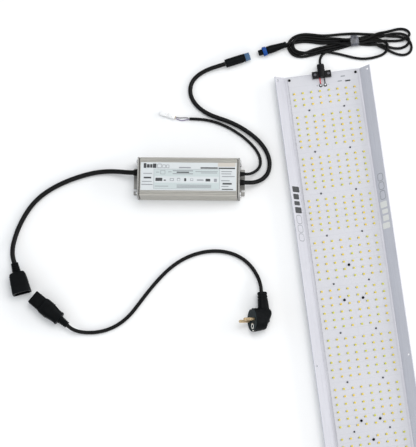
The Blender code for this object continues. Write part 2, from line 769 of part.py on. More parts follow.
def make_wall_plug(plug):
    sections = [
        (0, 18.4, 18.4, 2),
        (1, 19, 19, 2),
        (4, 18.9, 17.5, 2.1),
        (12, 18.4, 14, 2.3, 0.6),
        (22, 17.1, 9.5, 2.6, 1.9),
        (26, 13.2, 7.8, 2.5, 5.4),
        (30, 9.2, 6, 2.4, 8.7),
        (32.6, 6.4, 4.5, 2.2, 10.4),
        (34, 4.2, 3.1, 2, 11),
    ]
    body = add("wall_plug_body", loft([rounded_ring(*s) for s in sections]), "black_plastic", plug)
    neck = []
    for y, half_x, half_z in (
        (-4, 8, 5),
        (14, 9.4, 6.6),
        (26, 8.4, 6.8),
        (37, 7.8, 6.4),
        (44, 7.5, 6.0),
        (45, 6.9, 5.4),
    ):
        ring = rounded_ring(0, half_x, half_z, 2.6)
        neck.append([(21 * MM + across, y * MM, up) for _, across, up in ring])
    boolean(body, tool("wall_plug_neck_tool", loft(neck), plug), "UNION")
    holes = bmesh.new()
    rod((-2 * MM, -10 * MM, 0), (15 * MM, -10 * MM, 0), 2.4 * MM, 12, holes)
    for side in (-1, 1):
        block((12 * MM, 6 * MM, 6.4 * MM), (0, side * 19.4 * MM, 0), holes)
    boolean(body, tool("wall_plug_face_tool", holes, plug))
    pin = [(-19, 0), (-19, 1.2), (-18.2, 2.1), (-17, 2.4), (-0.3, 2.4), (-0.3, 0)]
    for side, name in ((-1, "lower"), (1, "upper")):
        add(f"wall_plug_pin_{name}", turned(pin, 14, z=side * 9.5 * MM), "brass", plug)
        clip = block((6 * MM, 1.2 * MM, 5.6 * MM), (2.6 * MM, side * 17.4 * MM, 0))
        end = "far" if side > 0 else "near"
        add(f"earth_clip_{end}", clip, "brass", plug)


def make_mains_cord(connector, plug):
    start = [at(connector, -73.2 * MM, 0, 0), at(connector, -80 * MM, 0, 0)]
    end = [at(plug, 21 * MM, 52 * MM, 0), at(plug, 21 * MM, 45.5 * MM, 0)]
    middle = floor_route(MAINS_CORD, MAINS_ROUTE)
    tube("mains_cord", start + middle + end, MAINS_CORD, "black_rubber")


def main():
    clear_scene()
    make_panel()
    dc = place("dc_axis", DC_PLACE)
    make_hank()
    make_panel_cord(dc)
    make_male_connector(dc)
    make_female_connector(dc)
    driver = place("driver", DRIVER_PLACE)
    make_housing(driver)
    make_driver_end(driver, -1, "input")
    make_driver_end(driver, 1, "output")
    make_grommets(driver)
    make_driver_inside(driver)
    make_output_cord(driver, dc)
    make_dim_cord(driver)
    inlet = place("inlet_plug", INLET_PLACE)
    make_inlet_plug(inlet)
    make_input_cord(driver, inlet)
    connector = place("connector", CONNECTOR_PLACE)
    make_appliance_connector(connector)
    plug = place("wall_plug", PLUG_PLACE, PLUG_TILT)
    make_wall_plug(plug)
    make_mains_cord(connector, plug)


main()
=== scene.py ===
"""Looks of the LED grow light: its cords, its fine detail and every material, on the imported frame.

Everything is in metres in the frame's axes: +Y runs to the panel's cable end and +Z out of its
LEDs. MM turns millimetres into metres. Each group of pieces off the panel is built in axes of its
own, which its empty in PLACES holds.
"""

from math import cos, pi, radians, sin

import bmesh
import bpy
import numpy as np
from mathutils import Matrix, Vector


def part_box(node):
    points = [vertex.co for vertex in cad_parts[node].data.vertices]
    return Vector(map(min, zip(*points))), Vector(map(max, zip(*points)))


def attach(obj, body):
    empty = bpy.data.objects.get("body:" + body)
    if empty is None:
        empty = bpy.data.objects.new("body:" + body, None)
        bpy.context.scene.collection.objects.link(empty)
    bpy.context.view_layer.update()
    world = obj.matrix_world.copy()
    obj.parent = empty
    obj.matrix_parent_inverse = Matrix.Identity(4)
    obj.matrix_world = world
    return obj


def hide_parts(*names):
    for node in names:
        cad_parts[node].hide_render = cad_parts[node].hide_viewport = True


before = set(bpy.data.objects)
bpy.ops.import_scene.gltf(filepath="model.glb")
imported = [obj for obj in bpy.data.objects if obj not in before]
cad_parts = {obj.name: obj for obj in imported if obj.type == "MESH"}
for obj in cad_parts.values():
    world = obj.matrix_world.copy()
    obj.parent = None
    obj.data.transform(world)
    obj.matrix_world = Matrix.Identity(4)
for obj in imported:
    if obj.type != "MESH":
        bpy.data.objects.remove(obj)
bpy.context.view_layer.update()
MM = 0.001

# Camera: where it stands, the floor point it looks at, its turn about that line, its focal length
CAMERA_AT = (-0.1846, -0.5939, 3.9483)
CAMERA_AIM = (-0.216, 0.256, 0.0)
CAMERA_ROLL = radians(9.54)
IMAGE_HEIGHT = 447
FOCAL_PIXELS = 2500
SENSOR = 36.0

# Groups off the panel: x, y and z in millimetres, turn about Z and tilt about Y in degrees
PLACES = {
    "dc": (-84.5, 528.2, 7.7, 10.5, 0),
    "driver": (-237.2, 329.2, 0, -8.2, 0),
    "dim_connector": (-247, 437.8, 3.4, 154, 0),
    "inlet": (-526.3, 179.6, 12.1, -82.2, 0),
    "connector": (-509.9, 171.7, 10.1, 133.1, 0),
    "plug": (-166, 86.8, 18.0, -2, 24),
}

# Panel
BOARD_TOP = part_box("led_board")[1].z
COLUMNS = (-49.5, -35.5, -21.5, -7.5, 7.5, 21.5, 35.5, 49.5)
BLOCKS = [(3, 10)] + [(6, 10)] * 3 + [(6, 12)] * 5 + [(6, 10)] * 3 + [(5, 10)]  # rows and their pitch
FIRST_ROW = 450
BLOCK_GAP = 20
WING_ANGLE = radians(47)
WING_FOLD = (61.88, 1.88)  # where a wing's flat front starts, in x and z
LEFT_PRINT_Y = 249
RIGHT_PRINT_Y = 255
PRINT_TOP = 17.4  # how far up a wing its print reaches
PRINT_LINE = 1.0
PRINT_LEVELS = (0.03, 0.1)
SMALL_SCREW_X = 28.5
SMALL_SCREW_ROWS = (420, 350, 280, 210, 130, 50, -30, -110, -190, -260, -330, -400)
# Black heads where the panel has through-holes: their black is painted shade of the holes
HOLE_SHADE_HEADS = [(x, y) for x in (-54.4, 54.4) for y in (-474, 474)]
HOLE_SHADE_HEADS += [(0, 158), (0, -126), (-15, 102), (15, 102), (-15, -94), (15, -94)]
BOARD_MARKS = [  # x, y, half sizes, and 1 for a dark one
    (33, 470, 3.6, 1.0, 0), (27, 462.5, 3.5, 0.9, 0), (40, 461.5, 4.2, 1.3, 1),
    (-10.6, 459.5, 0.9, 0.25, 1), (-10.6, 459.5, 0.25, 0.9, 1), (8.4, 459.5, 0.9, 0.25, 1),
]

# Driver
CAP_OUTER = 82.4
GROMMET_END = CAP_OUTER + 2.7
EXIT_Z = 17
OUTLETS = {"input": (-1, 10), "output": (1, -5), "dim": (1, 9)}  # which end, and y
# Radii of each grommet's neck and flange, and of its cord
GROMMETS = {"input": (4.9, 6.0, 3.9), "output": (4.6, 5.6, 3.5), "dim": (3.4, 4.4, 2.4)}
CAP_SCREWS = [(side * 26, height) for side in (-1, 1) for height in (5.6, 29)]
LABEL_TOP = 35.5
# The label's print as plain bars: x, y, half sizes, and which of PRINT_INKS
PRINT_INKS = ("ink", "pale_ink", "tint_ink", "beige_ink", "label")
LABEL_PRINT = [
    (-70.2, 17.5, 2.2, 3.9, 0), (-65, 16.9, 2.3, 2.9, 0), (-60.2, 16.9, 1.8, 2.9, 0),
    (-54.8, 17.3, 2.9, 3.6, 0), (-47, 17.1, 3.6, 3.5, 1), (-47, 17.1, 2.7, 2.6, 4),
    (-39.6, 16.5, 2.8, 2.8, 1), (-39.6, 16.5, 2, 2, 4), (-33.6, 16.5, 2.4, 2.8, 1),
    (-33.6, 16.5, 1.6, 2, 4), (-6, 14.6, 9.4, 1, 1), (61.3, 19.8, 14.2, 3.2, 3),
    (33.1, 14.3, 13.9, 1.1, 0), (61.6, 13.9, 13.3, 1.1, 0), (-65.8, 4.6, 7.1, 0.6, 1),
    (-66, -2.4, 6, 1.3, 0), (-66.9, -8.7, 7.9, 0.6, 1), (-66.5, -13.7, 9, 0.7, 1),
    (-2.8, -4.4, 53.2, 16.5, 1), (-2.8, -4.4, 52.8, 16.1, 2), (-2.8, -5.2, 51.6, 5.2, 4),
    (-41.4, 6.7, 3.9, 3.3, 1), (-41.4, 6.7, 3.2, 2.6, 2), (-50, 6.7, 2.4, 0.5, 1),
    (-30, 7.4, 2.8, 0.5, 1), (-9.1, 9.3, 16.4, 0.8, 1), (-9.1, 6.8, 10, 0.9, 0),
    (-9.1, 4.4, 16.4, 0.7, 1), (29, 8.2, 17.9, 0.5, 1), (33, 6, 13, 0.5, 1),
    (-47.5, -5.2, 5.6, 2.7, 0), (-38, -6.4, 1.8, 1, 0), (-26.7, -5.3, 3.2, 2.2, 1),
    (-26.7, -5.3, 2.2, 1.3, 4), (-15.7, -5, 2.5, 2.4, 1), (-15.7, -5.4, 1.8, 1.6, 4),
    (-5.1, -5.3, 1.7, 2.4, 0), (5.3, -5.2, 2.4, 2, 1), (5.3, -5, 1.7, 1.3, 4),
    (19, -5.8, 5.3, 1, 1), (31.4, -5.8, 3.8, 2.2, 0), (43.5, -6, 2.4, 2.6, 1),
    (-43.1, -16.3, 10.8, 0.5, 1), (9.1, -14.2, 27.8, 0.5, 1), (9.1, -16.2, 27.8, 0.5, 1),
    (9.1, -18.2, 27.8, 0.5, 1), (61.3, 8.6, 8.5, 0.6, 1), (60.7, 4.8, 7.9, 0.6, 1),
    (64.1, 0.4, 10.2, 0.6, 1), (59.6, -6.5, 6.8, 0.6, 1), (62.4, -11.5, 7.4, 1.3, 0),
    (59, -16, 5.7, 0.6, 1), (63, -20.7, 9, 0.7, 0),
]

# Cords: radii, then each route between its ends. A point with no height lies on the floor.
PANEL_CORD = 2.15
OUTPUT_CORD = 3.5
DIM_CORD = 2.4
DIM_WIRE = 0.75
INPUT_CORD = 3.9
MAINS_CORD = 3.0
OUTPUT_ROUTE = [
    (-130, 312, 9), (-112, 322, 4.4), (-104.5, 341), (-109.5, 367), (-131, 396), (-163, 420),
    (-189, 434), (-208, 451), (-217, 473), (-213, 491), (-197, 505, 4.4),
]
DIM_ROUTE = [
    (-133, 328, 8), (-121, 338, 4), (-119, 353), (-128, 374), (-149, 398), (-175, 417), (-198, 427),
    (-224, 432.5),
]
DIM_WIRE_ROUTE = [  # x, y, half the distance between the two wires, height
    (-224.8, 432.6, 1.1, 2.6), (-229, 433.6, 1.8, 1.6), (-236, 434, 2.4, 0.85),
    (-242, 435.6, 1.7, 1.6), (-246.2, 437.4, 1.3, 3.2),
]
INPUT_ROUTE = [
    (-352, 359, 9.5), (-381, 363, 4.6), (-412, 360), (-455, 348), (-487, 330), (-513, 301),
    (-529, 271, 5),
]
MAINS_CORD_START = -73.2  # along the appliance connector
MAINS_ROUTE = [
    (-437, 105.2, 3.6), (-419, 102.6), (-389, 106.6), (-362, 121), (-341, 141), (-307, 174),
    (-278, 195), (-247, 207), (-212, 209), (-184, 201), (-162, 184), (-149, 161, 3.6),
]
# The panel's whole cord in plan: out of the clamp, then its turns through the tie
HANK_ROUTE = [
    (-1, 493.4), (-1, 498), (2, 507), (10, 515), (24, 521), (40, 521.6), (52, 520.6), (68, 520),
    (81, 518.5), (102, 515), (121, 506.2), (136, 504.6), (145.5, 508.2), (149.5, 516.6),
    (145.5, 525), (136, 528.6), (121, 529.2), (106, 529), (85, 529), (68, 529.3), (52, 529.1),
    (33, 531), (7, 534), (-15, 540.5), (-31, 542), (-40.8, 538), (-44.5, 529.4), (-40.8, 520.8),
    (-31, 516.8), (-13, 517.2), (11, 520), (34, 523.4), (52, 524.7), (68, 524.6), (83, 521),
    (99, 513), (114, 502), (132, 493), (145, 493), (151, 502), (149, 514), (136, 523), (115, 528),
    (96, 531), (75, 536.5), (33, 541), (0, 544), (-17, 547.5), (-33, 546.5), (-45, 539),
    (-47.5, 529), (-43, 519), (-32, 512.5), (-19, 512.5), (-3, 516), (13, 514), (32, 508),
    (53, 499.5), (76, 494), (95, 496), (110, 501.5), (114, 511), (107, 520), (89, 526), (68, 528.6),
    (52, 528.8), (33, 531), (8, 536), (-15, 542), (-33, 542.5), (-43, 535), (-40, 523),
    (-26, 516.5), (-1, 518.5), (29, 522), (52, 524.2), (68, 524.6), (86, 528.5), (117, 534.5),
    (136, 537), (149, 532.5), (152, 524), (143, 518), (126, 517.8), (106, 519.6), (88, 520.6),
    (68, 520.2), (52, 520.4), (30, 526.5), (4, 533), (-16, 538.6),
]
PIN_OFFSET = 1.6  # the low-voltage contacts, off the connector's axis
HANK_LAYERS = 9  # how many thicknesses high the hank starts, before it drops on itself
TIE = (53.4, 66.6)
TIE_Y = 524.7
CLAMP_X = -1
CLAMP_EXIT_Z = 8.3

MAINS_CONTACTS = {"line": (-7, -2), "neutral": (7, -2), "earth": (0, 2)}
# Plugs' bodies: x, half width, half height and how square each section is
INLET_SECTIONS = [
    (-37.2, 6.2, 6.2, 2), (-36.6, 7.0, 6.8, 2.2), (-35, 8.5, 8.0, 2.5), (-34, 11.6, 9.6, 4),
    (-32, 12.6, 10.4, 6), (-12, 14.6, 11.6, 7), (-1, 15.5, 12, 7), (0, 15.2, 11.7, 7),
]
CONNECTOR_SECTIONS = [
    (-56.6, 6.6, 6.4, 2), (-56.4, 10.8, 8.2, 3), (-55.6, 11.3, 8.7, 4), (-53.6, 11.2, 8.8, 4),
    (-52.6, 10.5, 8.9, 5), (-49, 10.7, 9.3, 5), (-44, 11.4, 9.7, 5), (-38, 12.5, 10, 5),
    (-32, 13.1, 10.1, 5), (-26, 13.1, 10, 5), (-21, 12.6, 9.8, 6), (-20.3, 12.1, 9.2, 6),
    (-19.6, 11.5, 7.7, 8), (-1, 11.4, 7.7, 8), (0, 11, 7.4, 8),
]
PLUG_SECTIONS = [  # and how far its middle is to the cord's side
    (0, 18.4, 18.4, 2, 0), (0.4, 18.8, 18.8, 2, 0), (1, 19, 19, 2, 0), (2.4, 19, 18.4, 2, 0),
    (4, 18.9, 17.5, 2.1, 0), (12, 18.4, 14, 2.3, 0.6), (20.5, 17.5, 10.2, 2.5, 1.5),
    (22, 17.1, 9.5, 2.6, 1.9), (23, 16.2, 9.1, 2.6, 2.8), (26, 13.2, 7.8, 2.5, 5.4),
    (30, 9.2, 6, 2.4, 8.7), (32.6, 6.4, 4.5, 2.2, 10.4), (34, 4.2, 3.1, 2, 11),
]
PLUG_NECK_X = 22
PLUG_NECK = [  # y, half size along x and z
    (-4, 8, 5), (14, 9.4, 6.6), (26, 8.4, 6.8), (34, 7.9, 6.5), (34.6, 7.3, 5.9), (35.8, 7.3, 5.9),
    (36.4, 7.8, 6.4), (38.4, 7.8, 6.3), (39, 7.2, 5.8), (40.2, 7.2, 5.8), (40.8, 7.7, 6.2),
    (43.6, 7.5, 6.0), (44.4, 7.3, 5.8), (45, 6.6, 5.1),
]


def mm(*values):
    """Metres from millimetres."""
    return tuple(value * MM for value in values)


def at(group, x, y=0, z=0):
    """The place in the frame of a point in a group's own axes, in millimetres."""
    return EMPTIES[group].matrix_basis @ Vector(mm(x, y, z))


def put_in_scene(name, data):
    obj = bpy.data.objects.new(name, data)
    bpy.context.scene.collection.objects.link(obj)
    return obj


def add_places():
    made = {}
    for name, (x, y, z, turn, tilt) in PLACES.items():
        empty = put_in_scene(f"place_{name}", None)
        empty.location = mm(x, y, z)
        empty.rotation_euler = (0, radians(tilt), radians(turn))
        made[name] = empty
    bpy.context.view_layer.update()
    return made


EMPTIES = add_places()


# Materials


class Surface:
    """A material under construction: a Principled shader and the nodes that feed it."""

    def __init__(self, name, colour, roughness, metallic=0.0, **sockets):
        self.material = bpy.data.materials.new(name)
        self.material.use_nodes = True
        self.tree = self.material.node_tree
        self.shader = self.tree.nodes["Principled BSDF"]
        self.colour = (*colour, 1)
        self.set(self.shader, "Base Color", self.colour)
        self.set(self.shader, "Roughness", roughness)
        self.set(self.shader, "Metallic", metallic)
        for socket, value in sockets.items():
            self.set(self.shader, socket.replace("_", " "), value)
        self.height = None

    def set(self, node, socket, value):
        """Puts a value in a socket, or links another node's output to it."""
        target = node.inputs[socket]
        if isinstance(value, bpy.types.NodeSocket):
            self.tree.links.new(value, target)
        else:
            target.default_value = value

    def node(self, kind, inputs=(), **settings):
        made = self.tree.nodes.new(f"ShaderNode{kind}")
        for name, value in settings.items():
            setattr(made, name, value)
        for socket, value in dict(inputs).items():
            self.set(made, socket, value)
        return made

    def coordinates(self, stretch=(1, 1, 1), turn=0.0):
        """Object coordinates in metres, along axes turned about Z and then stretched."""
        source = self.node("TexCoord").outputs["Object"]
        inputs = {"Vector": source, "Scale": stretch, "Rotation": (0, 0, radians(turn))}
        return self.node("Mapping", inputs, vector_type="TEXTURE").outputs["Vector"]

    def noise(self, scale, detail, stretch=(1, 1, 1), turn=0.0, rough=0.55):
        where = self.coordinates(stretch, turn)
        inputs = {"Vector": where, "Scale": scale, "Detail": detail, "Roughness": rough}
        return self.node("TexNoise", inputs).outputs["Fac"]

    def spread(self, value, low, high, start=0.35, end=0.65):
        """A 0 to 1 signal's middle part, spread over low to high."""
        inputs = {"Value": value, "From Min": start, "From Max": end, "To Min": low, "To Max": high}
        return self.node("MapRange", inputs).outputs["Result"]

    def mix(self, amount, first, second):
        made = self.node("Mix", data_type="RGBA")
        for socket, value in ((0, amount), (6, first), (7, second)):
            self.set(made, socket, value)
        return made.outputs[2]

    def maths(self, operation, *values):
        made = self.node("Math", operation=operation)
        for socket, value in enumerate(values):
            self.set(made, socket, value)
        return made.outputs[0]

    def tint(self, amount, colour):
        """Blends a second colour in by a 0 to 1 signal."""
        self.colour = self.mix(amount, self.colour, (*colour, 1))
        self.set(self.shader, "Base Color", self.colour)
        return self

    def roughen(self, signal, low, high):
        self.set(self.shader, "Roughness", self.spread(signal, low, high))
        return self

    def bump(self, signal, depth):
        """Relief of a depth in metres. A second one is added to the first."""
        inputs = {"Height": signal, "Distance": depth, "Strength": 1.0}
        if self.height is not None:
            inputs["Normal"] = self.height
        self.height = self.node("Bump", inputs).outputs["Normal"]
        self.set(self.shader, "Normal", self.height)
        return self

    def worn_edges(self, colour, amount=0.5):
        """A lighter or darker tone where the mesh has convex edges."""
        edge = self.node("NewGeometry").outputs["Pointiness"]
        signal = self.spread(edge, 0.0, amount, 0.51, 0.58)
        return self.tint(signal, colour)


def moulded(name, colour, roughness, light, shine=0.5, grain=2600):
    """Moulded plastic or rubber: a fine grain, soft blotches of gloss and paler edges."""
    made = Surface(name, colour, roughness, Specular_IOR_Level=shine)
    made.tint(made.spread(made.noise(90, 2), 0.0, 0.6, 0.4, 0.75), light)
    made.roughen(made.noise(240, 3), roughness - 0.07, roughness + 0.1)
    made.bump(made.noise(grain, 2), 0.00002)
    made.worn_edges(light, 0.7)
    return made.material


def brushed(name, colour, dark, roughness, along, turn, metallic):
    """Sheet or extruded metal with fine lines along one axis, and faint handling marks."""
    stretch = [1.0, 1.0, 1.0]
    stretch["xyz".index(along)] = 80
    made = Surface(name, colour, roughness, metallic)
    lines = made.noise(1500, 4, stretch, turn, 0.7)
    smudge = made.noise(14, 3)
    made.tint(made.spread(lines, 0.0, 0.55), dark)
    made.tint(made.spread(smudge, 0.0, 0.3, 0.45, 0.75), dark)
    made.roughen(lines, roughness - 0.08, roughness + 0.12)
    made.bump(lines, 0.000015)
    return made.material


def cast(name, colour, dark, roughness, metallic):
    """Plated sheet steel: a fine orange-peel surface, duller patches and rubbed edges."""
    made = Surface(name, colour, roughness, metallic)
    made.tint(made.spread(made.noise(70, 3), 0.0, 0.5), dark)
    made.roughen(made.noise(400, 3), roughness - 0.1, roughness + 0.1)
    made.bump(made.noise(900, 2), 0.00003)
    made.worn_edges((0.40, 0.395, 0.38), 0.4)
    return made.material


def plated(name, colour, dark, roughness):
    """Turned and plated metal: fine random scratches and a darker tone in random patches."""
    made = Surface(name, colour, roughness, 1.0)
    scratches = made.noise(1800, 4, (1, 12, 1))
    made.tint(made.spread(made.noise(300, 3), 0.0, 0.6), dark)
    made.roughen(scratches, roughness - 0.06, roughness + 0.14)
    made.bump(scratches, 0.000008)
    return made.material


def board_mask():
    """White solder mask over copper: wide tracks stand out by a trace of tone and relief."""
    made = Surface("white_mask", (0.56, 0.56, 0.595), 0.45, Specular_IOR_Level=0.35)
    layout = {"Vector": made.coordinates(), "Scale": 1.0, "Brick Width": 0.14, "Row Height": 0.014}
    layout |= {"Mortar Size": 0.0007, "Mortar Smooth": 0.4}
    gaps = made.node("TexBrick", layout, offset=0.5).outputs["Fac"]
    made.tint(made.maths("MULTIPLY", gaps, 0.35), (0.47, 0.475, 0.51))
    made.tint(made.spread(made.noise(9, 3), 0.0, 0.5), (0.60, 0.60, 0.63))
    made.roughen(made.noise(200, 3), 0.36, 0.52)
    made.bump(made.maths("SUBTRACT", 1.0, gaps), 0.00003)
    made.bump(made.noise(1500, 2), 0.000008)
    return made.material


def rubber_cord(name, colour, light, roughness):
    """A cord's jacket, with soft dusty patches."""
    made = Surface(name, colour, roughness, Specular_IOR_Level=0.13)
    made.tint(made.spread(made.noise(120, 4), 0.0, 0.55, 0.45, 0.8), light)
    made.roughen(made.noise(500, 3), roughness - 0.08, roughness + 0.1)
    made.bump(made.noise(700, 2), 0.000006)
    return made.material


def clear_tape():
    """Wrinkled clear film over black cord: milky, with bright creases across it."""
    made = Surface("tape", (0.03, 0.032, 0.042), 0.3, Coat_Weight=0.25, Coat_Roughness=0.2)
    creases = made.noise(260, 4, (1, 3, 1), 0, 0.6)
    made.tint(made.spread(creases, 0.0, 0.8, 0.48, 0.62), (0.14, 0.145, 0.19))
    made.roughen(made.noise(500, 2), 0.2, 0.42)
    made.bump(creases, 0.0004)
    return made.material


def printed_film():
    """The driver's label: a smooth white film with the slightest ripple."""
    made = Surface("label_film", (0.58, 0.61, 0.62), 0.4, Coat_Weight=0.1, Coat_Roughness=0.2)
    made.tint(made.spread(made.noise(30, 2), 0.0, 0.4), (0.54, 0.57, 0.58))
    made.roughen(made.noise(80, 2), 0.28, 0.42)
    made.bump(made.noise(45, 2), 0.00006)
    return made.material


def ink(name, colour, roughness=0.5):
    """Screen print, a little uneven in density."""
    made = Surface(name, colour, roughness)
    pale = [min(1.0, c * 0.7 + 0.12) for c in colour]
    made.tint(made.spread(made.noise(900, 3), 0.0, 0.5, 0.5, 0.8), pale)
    return made.material


def phosphor():
    made = Surface("led_phosphor", (0.74, 0.50, 0.02), 0.45)
    made.tint(made.spread(made.noise(45, 2), 0.0, 1.0), (0.52, 0.54, 0.035))
    made.bump(made.noise(3000, 2), 0.00001)
    return made.material


def floor_paper():
    made = Surface("floor_paper", (0.93, 0.93, 0.93), 0.9)
    made.tint(made.spread(made.noise(3, 2), 0.0, 0.3), (0.90, 0.90, 0.90))
    made.bump(made.noise(500, 2), 0.00002)
    return made.material


MATERIALS = {
    "sheet": brushed("aluminium_sheet", (0.56, 0.56, 0.60), (0.46, 0.46, 0.50), 0.5, "y", 0, 0.25),
    "board": board_mask(),
    "plastic": moulded("black_plastic", (0.003, 0.0035, 0.004), 0.4, (0.007, 0.008, 0.009), 0.05),
    "clamp": moulded("clamp_plastic", (0.003, 0.003, 0.0035), 0.36, (0.008, 0.008, 0.009), 0.1),
    # The wall plug's face: black plastic with a bluish painted reflection in its colour
    "plug_face_painted_reflection": moulded("plug_face_painted_reflection", (0.004, 0.010, 0.013), 0.5, (0.008, 0.016, 0.02), 0.1),
    "rubber": moulded("gasket_rubber", (0.005, 0.005, 0.005), 0.55, (0.012, 0.012, 0.012), 0.1),
    "cord": rubber_cord("cord_jacket", (0.004, 0.004, 0.0042), (0.008, 0.008, 0.009), 0.42),
    "blue": moulded("blue_ring", (0.001, 0.042, 0.22), 0.36, (0.004, 0.07, 0.32), 0.2),
    "steel_blue": moulded("blue_sleeve", (0.034, 0.09, 0.18), 0.34, (0.07, 0.14, 0.25), 0.3),
    "tape": clear_tape(),
    "extrusion": brushed("extrusion", (0.39, 0.38, 0.35), (0.33, 0.32, 0.295), 0.46, "x", -8.2, 0.5),
    "cap": cast("cap_plate", (0.22, 0.215, 0.20), (0.14, 0.136, 0.13), 0.5, 0.5),
    "label": printed_film(),
    "steel": plated("plated_steel", (0.62, 0.62, 0.63), (0.4, 0.4, 0.41), 0.28),
    "dark_steel": plated("dark_steel", (0.10, 0.10, 0.11), (0.05, 0.05, 0.055), 0.35),
    "brass": plated("contact_brass", (0.62, 0.47, 0.29), (0.36, 0.27, 0.16), 0.28),
    "nickel": plated("nickel", (0.74, 0.72, 0.68), (0.52, 0.50, 0.46), 0.22),
    "solder": plated("solder", (0.66, 0.66, 0.68), (0.42, 0.42, 0.44), 0.2),
    "nylon": moulded("white_nylon", (0.80, 0.80, 0.79), 0.45, (0.88, 0.88, 0.88), grain=1500),
    "red": moulded("red_insulation", (0.33, 0.008, 0.025), 0.4, (0.6, 0.04, 0.05)),
    "black_wire": moulded("black_insulation", (0.015, 0.015, 0.016), 0.4, (0.05, 0.05, 0.05)),
    "violet": moulded("violet_insulation", (0.16, 0.12, 0.24), 0.45, (0.26, 0.22, 0.34)),
    "grey_wire": moulded("grey_insulation", (0.20, 0.19, 0.20), 0.45, (0.32, 0.31, 0.32)),
    "circuit": moulded("circuit_board", (0.02, 0.16, 0.06), 0.4, (0.05, 0.26, 0.11)),
    "component": moulded("component", (0.02, 0.02, 0.022), 0.35, (0.06, 0.06, 0.065)),
    "led_case": moulded("led_case", (0.62, 0.56, 0.34), 0.45, (0.70, 0.66, 0.50), grain=1800),
    "phosphor": phosphor(),
    "ink": ink("dark_ink", (0.025, 0.027, 0.03)),
    "pale_ink": ink("pale_ink", (0.26, 0.27, 0.29)),
    "tint_ink": ink("tint_ink", (0.50, 0.56, 0.56)),
    "beige_ink": ink("beige_ink", (0.54, 0.50, 0.45)),
    # The right wing's print: the left wing's dark print, painted pale as a painted sheen
    "sheen_painted_ink": ink("sheen_painted_ink", (0.70, 0.70, 0.67), 0.35),
    "floor": floor_paper(),
}


# Mesh building. A group's pieces are built in its own axes, with +X along their length.


def bridge(bm, first, second, kind):
    """Faces between two rings of vertices, either of which may be a single tip."""
    count = max(len(first), len(second))
    for i in range(count):
        j = (i + 1) % count
        corners = [ring[k % len(ring)] for ring, k in ((first, i), (first, j), (second, j), (second, i))]
        bm.faces.new(list(dict.fromkeys(corners))).material_index = kind


def loft(rings, looped=False, bm=None, kind=0):
    """A closed skin through rings of points. It is capped, unless it loops back to its start."""
    bm = bm or bmesh.new()
    rows = [[bm.verts.new(point) for point in ring] for ring in rings]
    following = rows[1:] + rows[:1] if looped else rows[1:]
    for first, second in zip(rows, following):
        bridge(bm, first, second, kind)
    for row in () if looped else (rows[0], rows[-1]):
        if len(row) > 2:
            bm.faces.new(row).material_index = kind
    return bm


def circle(x, radius, steps, y=0.0, z=0.0, start=0.0):
    if radius == 0:
        return [mm(x, y, z)]
    turns = [2 * pi * i / steps + start for i in range(steps)]
    return [mm(x, y + radius * cos(a), z + radius * sin(a)) for a in turns]


def turned(profile, steps=40, looped=False, y=0.0, z=0.0, bm=None, kind=0):
    """A solid turned about a line along X. The profile lists (x, radius) in millimetres."""
    rings = [circle(x, radius, steps, y, z) for x, radius in profile]
    return loft(rings, looped, bm, kind)


def rounded_ring(x, half_y, half_z, power, steps, y=0.0, z=0.0):
    """A ring between an ellipse, at power 2, and a rectangle."""
    ring = []
    for i in range(steps):
        turn = 2 * pi * (i + 0.5) / steps
        across, up = cos(turn), sin(turn)
        reach = (abs(across) ** power + abs(up) ** power) ** (-1 / power)
        ring.append(mm(x, y + half_y * across * reach, z + half_z * up * reach))
    return ring


def soft_block(size, centre, round_off, bm=None, segments=2):
    """A box with rounded edges, in millimetres."""
    bm = bm or bmesh.new()
    matrix = Matrix.Translation(Vector(centre) * MM) @ Matrix.Diagonal((*mm(*size), 1))
    made = bmesh.ops.create_cube(bm, size=1, matrix=matrix)["verts"]
    edges = list({edge for vert in made for edge in vert.link_edges})
    rounding = {"offset": round_off * MM, "segments": segments, "profile": 0.5}
    bmesh.ops.bevel(bm, geom=edges, affect="EDGES", **rounding)
    return bm


def arc(centre, radius, start, end, steps):
    """Points of an arc between two angles in degrees."""
    angles = [radians(start + (end - start) * i / steps) for i in range(steps + 1)]
    return [(centre[0] + radius * cos(a), centre[1] + radius * sin(a)) for a in angles]


def rounded_rectangle(half_a, half_b, radius, steps=6):
    corners = ((1, 1, 0), (-1, 1, 90), (-1, -1, 180), (1, -1, 270))
    outline = []
    for a, b, start in corners:
        centre = (a * (half_a - radius), b * (half_b - radius))
        outline += arc(centre, radius, start, start + 90, steps)
    return outline


def screw(head_radius, head_height, bm, x, y, z, turn, steps=32):
    """A pan head that stands up along +X from x, with a cross recess turned by an angle."""

    def cross(height, size):
        ring = []
        for i in range(steps):
            a = 2 * pi * i / steps + turn
            c, s = max(1e-6, abs(cos(a - turn))), max(1e-6, abs(sin(a - turn)))
            long, wide = size * 0.56 * head_radius, size * 0.15 * head_radius
            reach = max(min(long / c, wide / s), min(long / s, wide / c))
            ring.append(mm(height, y + reach * cos(a), z + reach * sin(a)))
        return ring

    sides = ((0, 1), (0.45, 1), (0.72, 0.95), (0.9, 0.84), (1, 0.66))
    rings = [circle(x + up * head_height, out * head_radius, steps, y, z, turn) for up, out in sides]
    top = x + head_height
    rings += [cross(top, 1), cross(top - 0.5 * head_height, 0.8)]
    return loft(rings + [[mm(top - 0.6 * head_height, y, z)]], bm=bm)


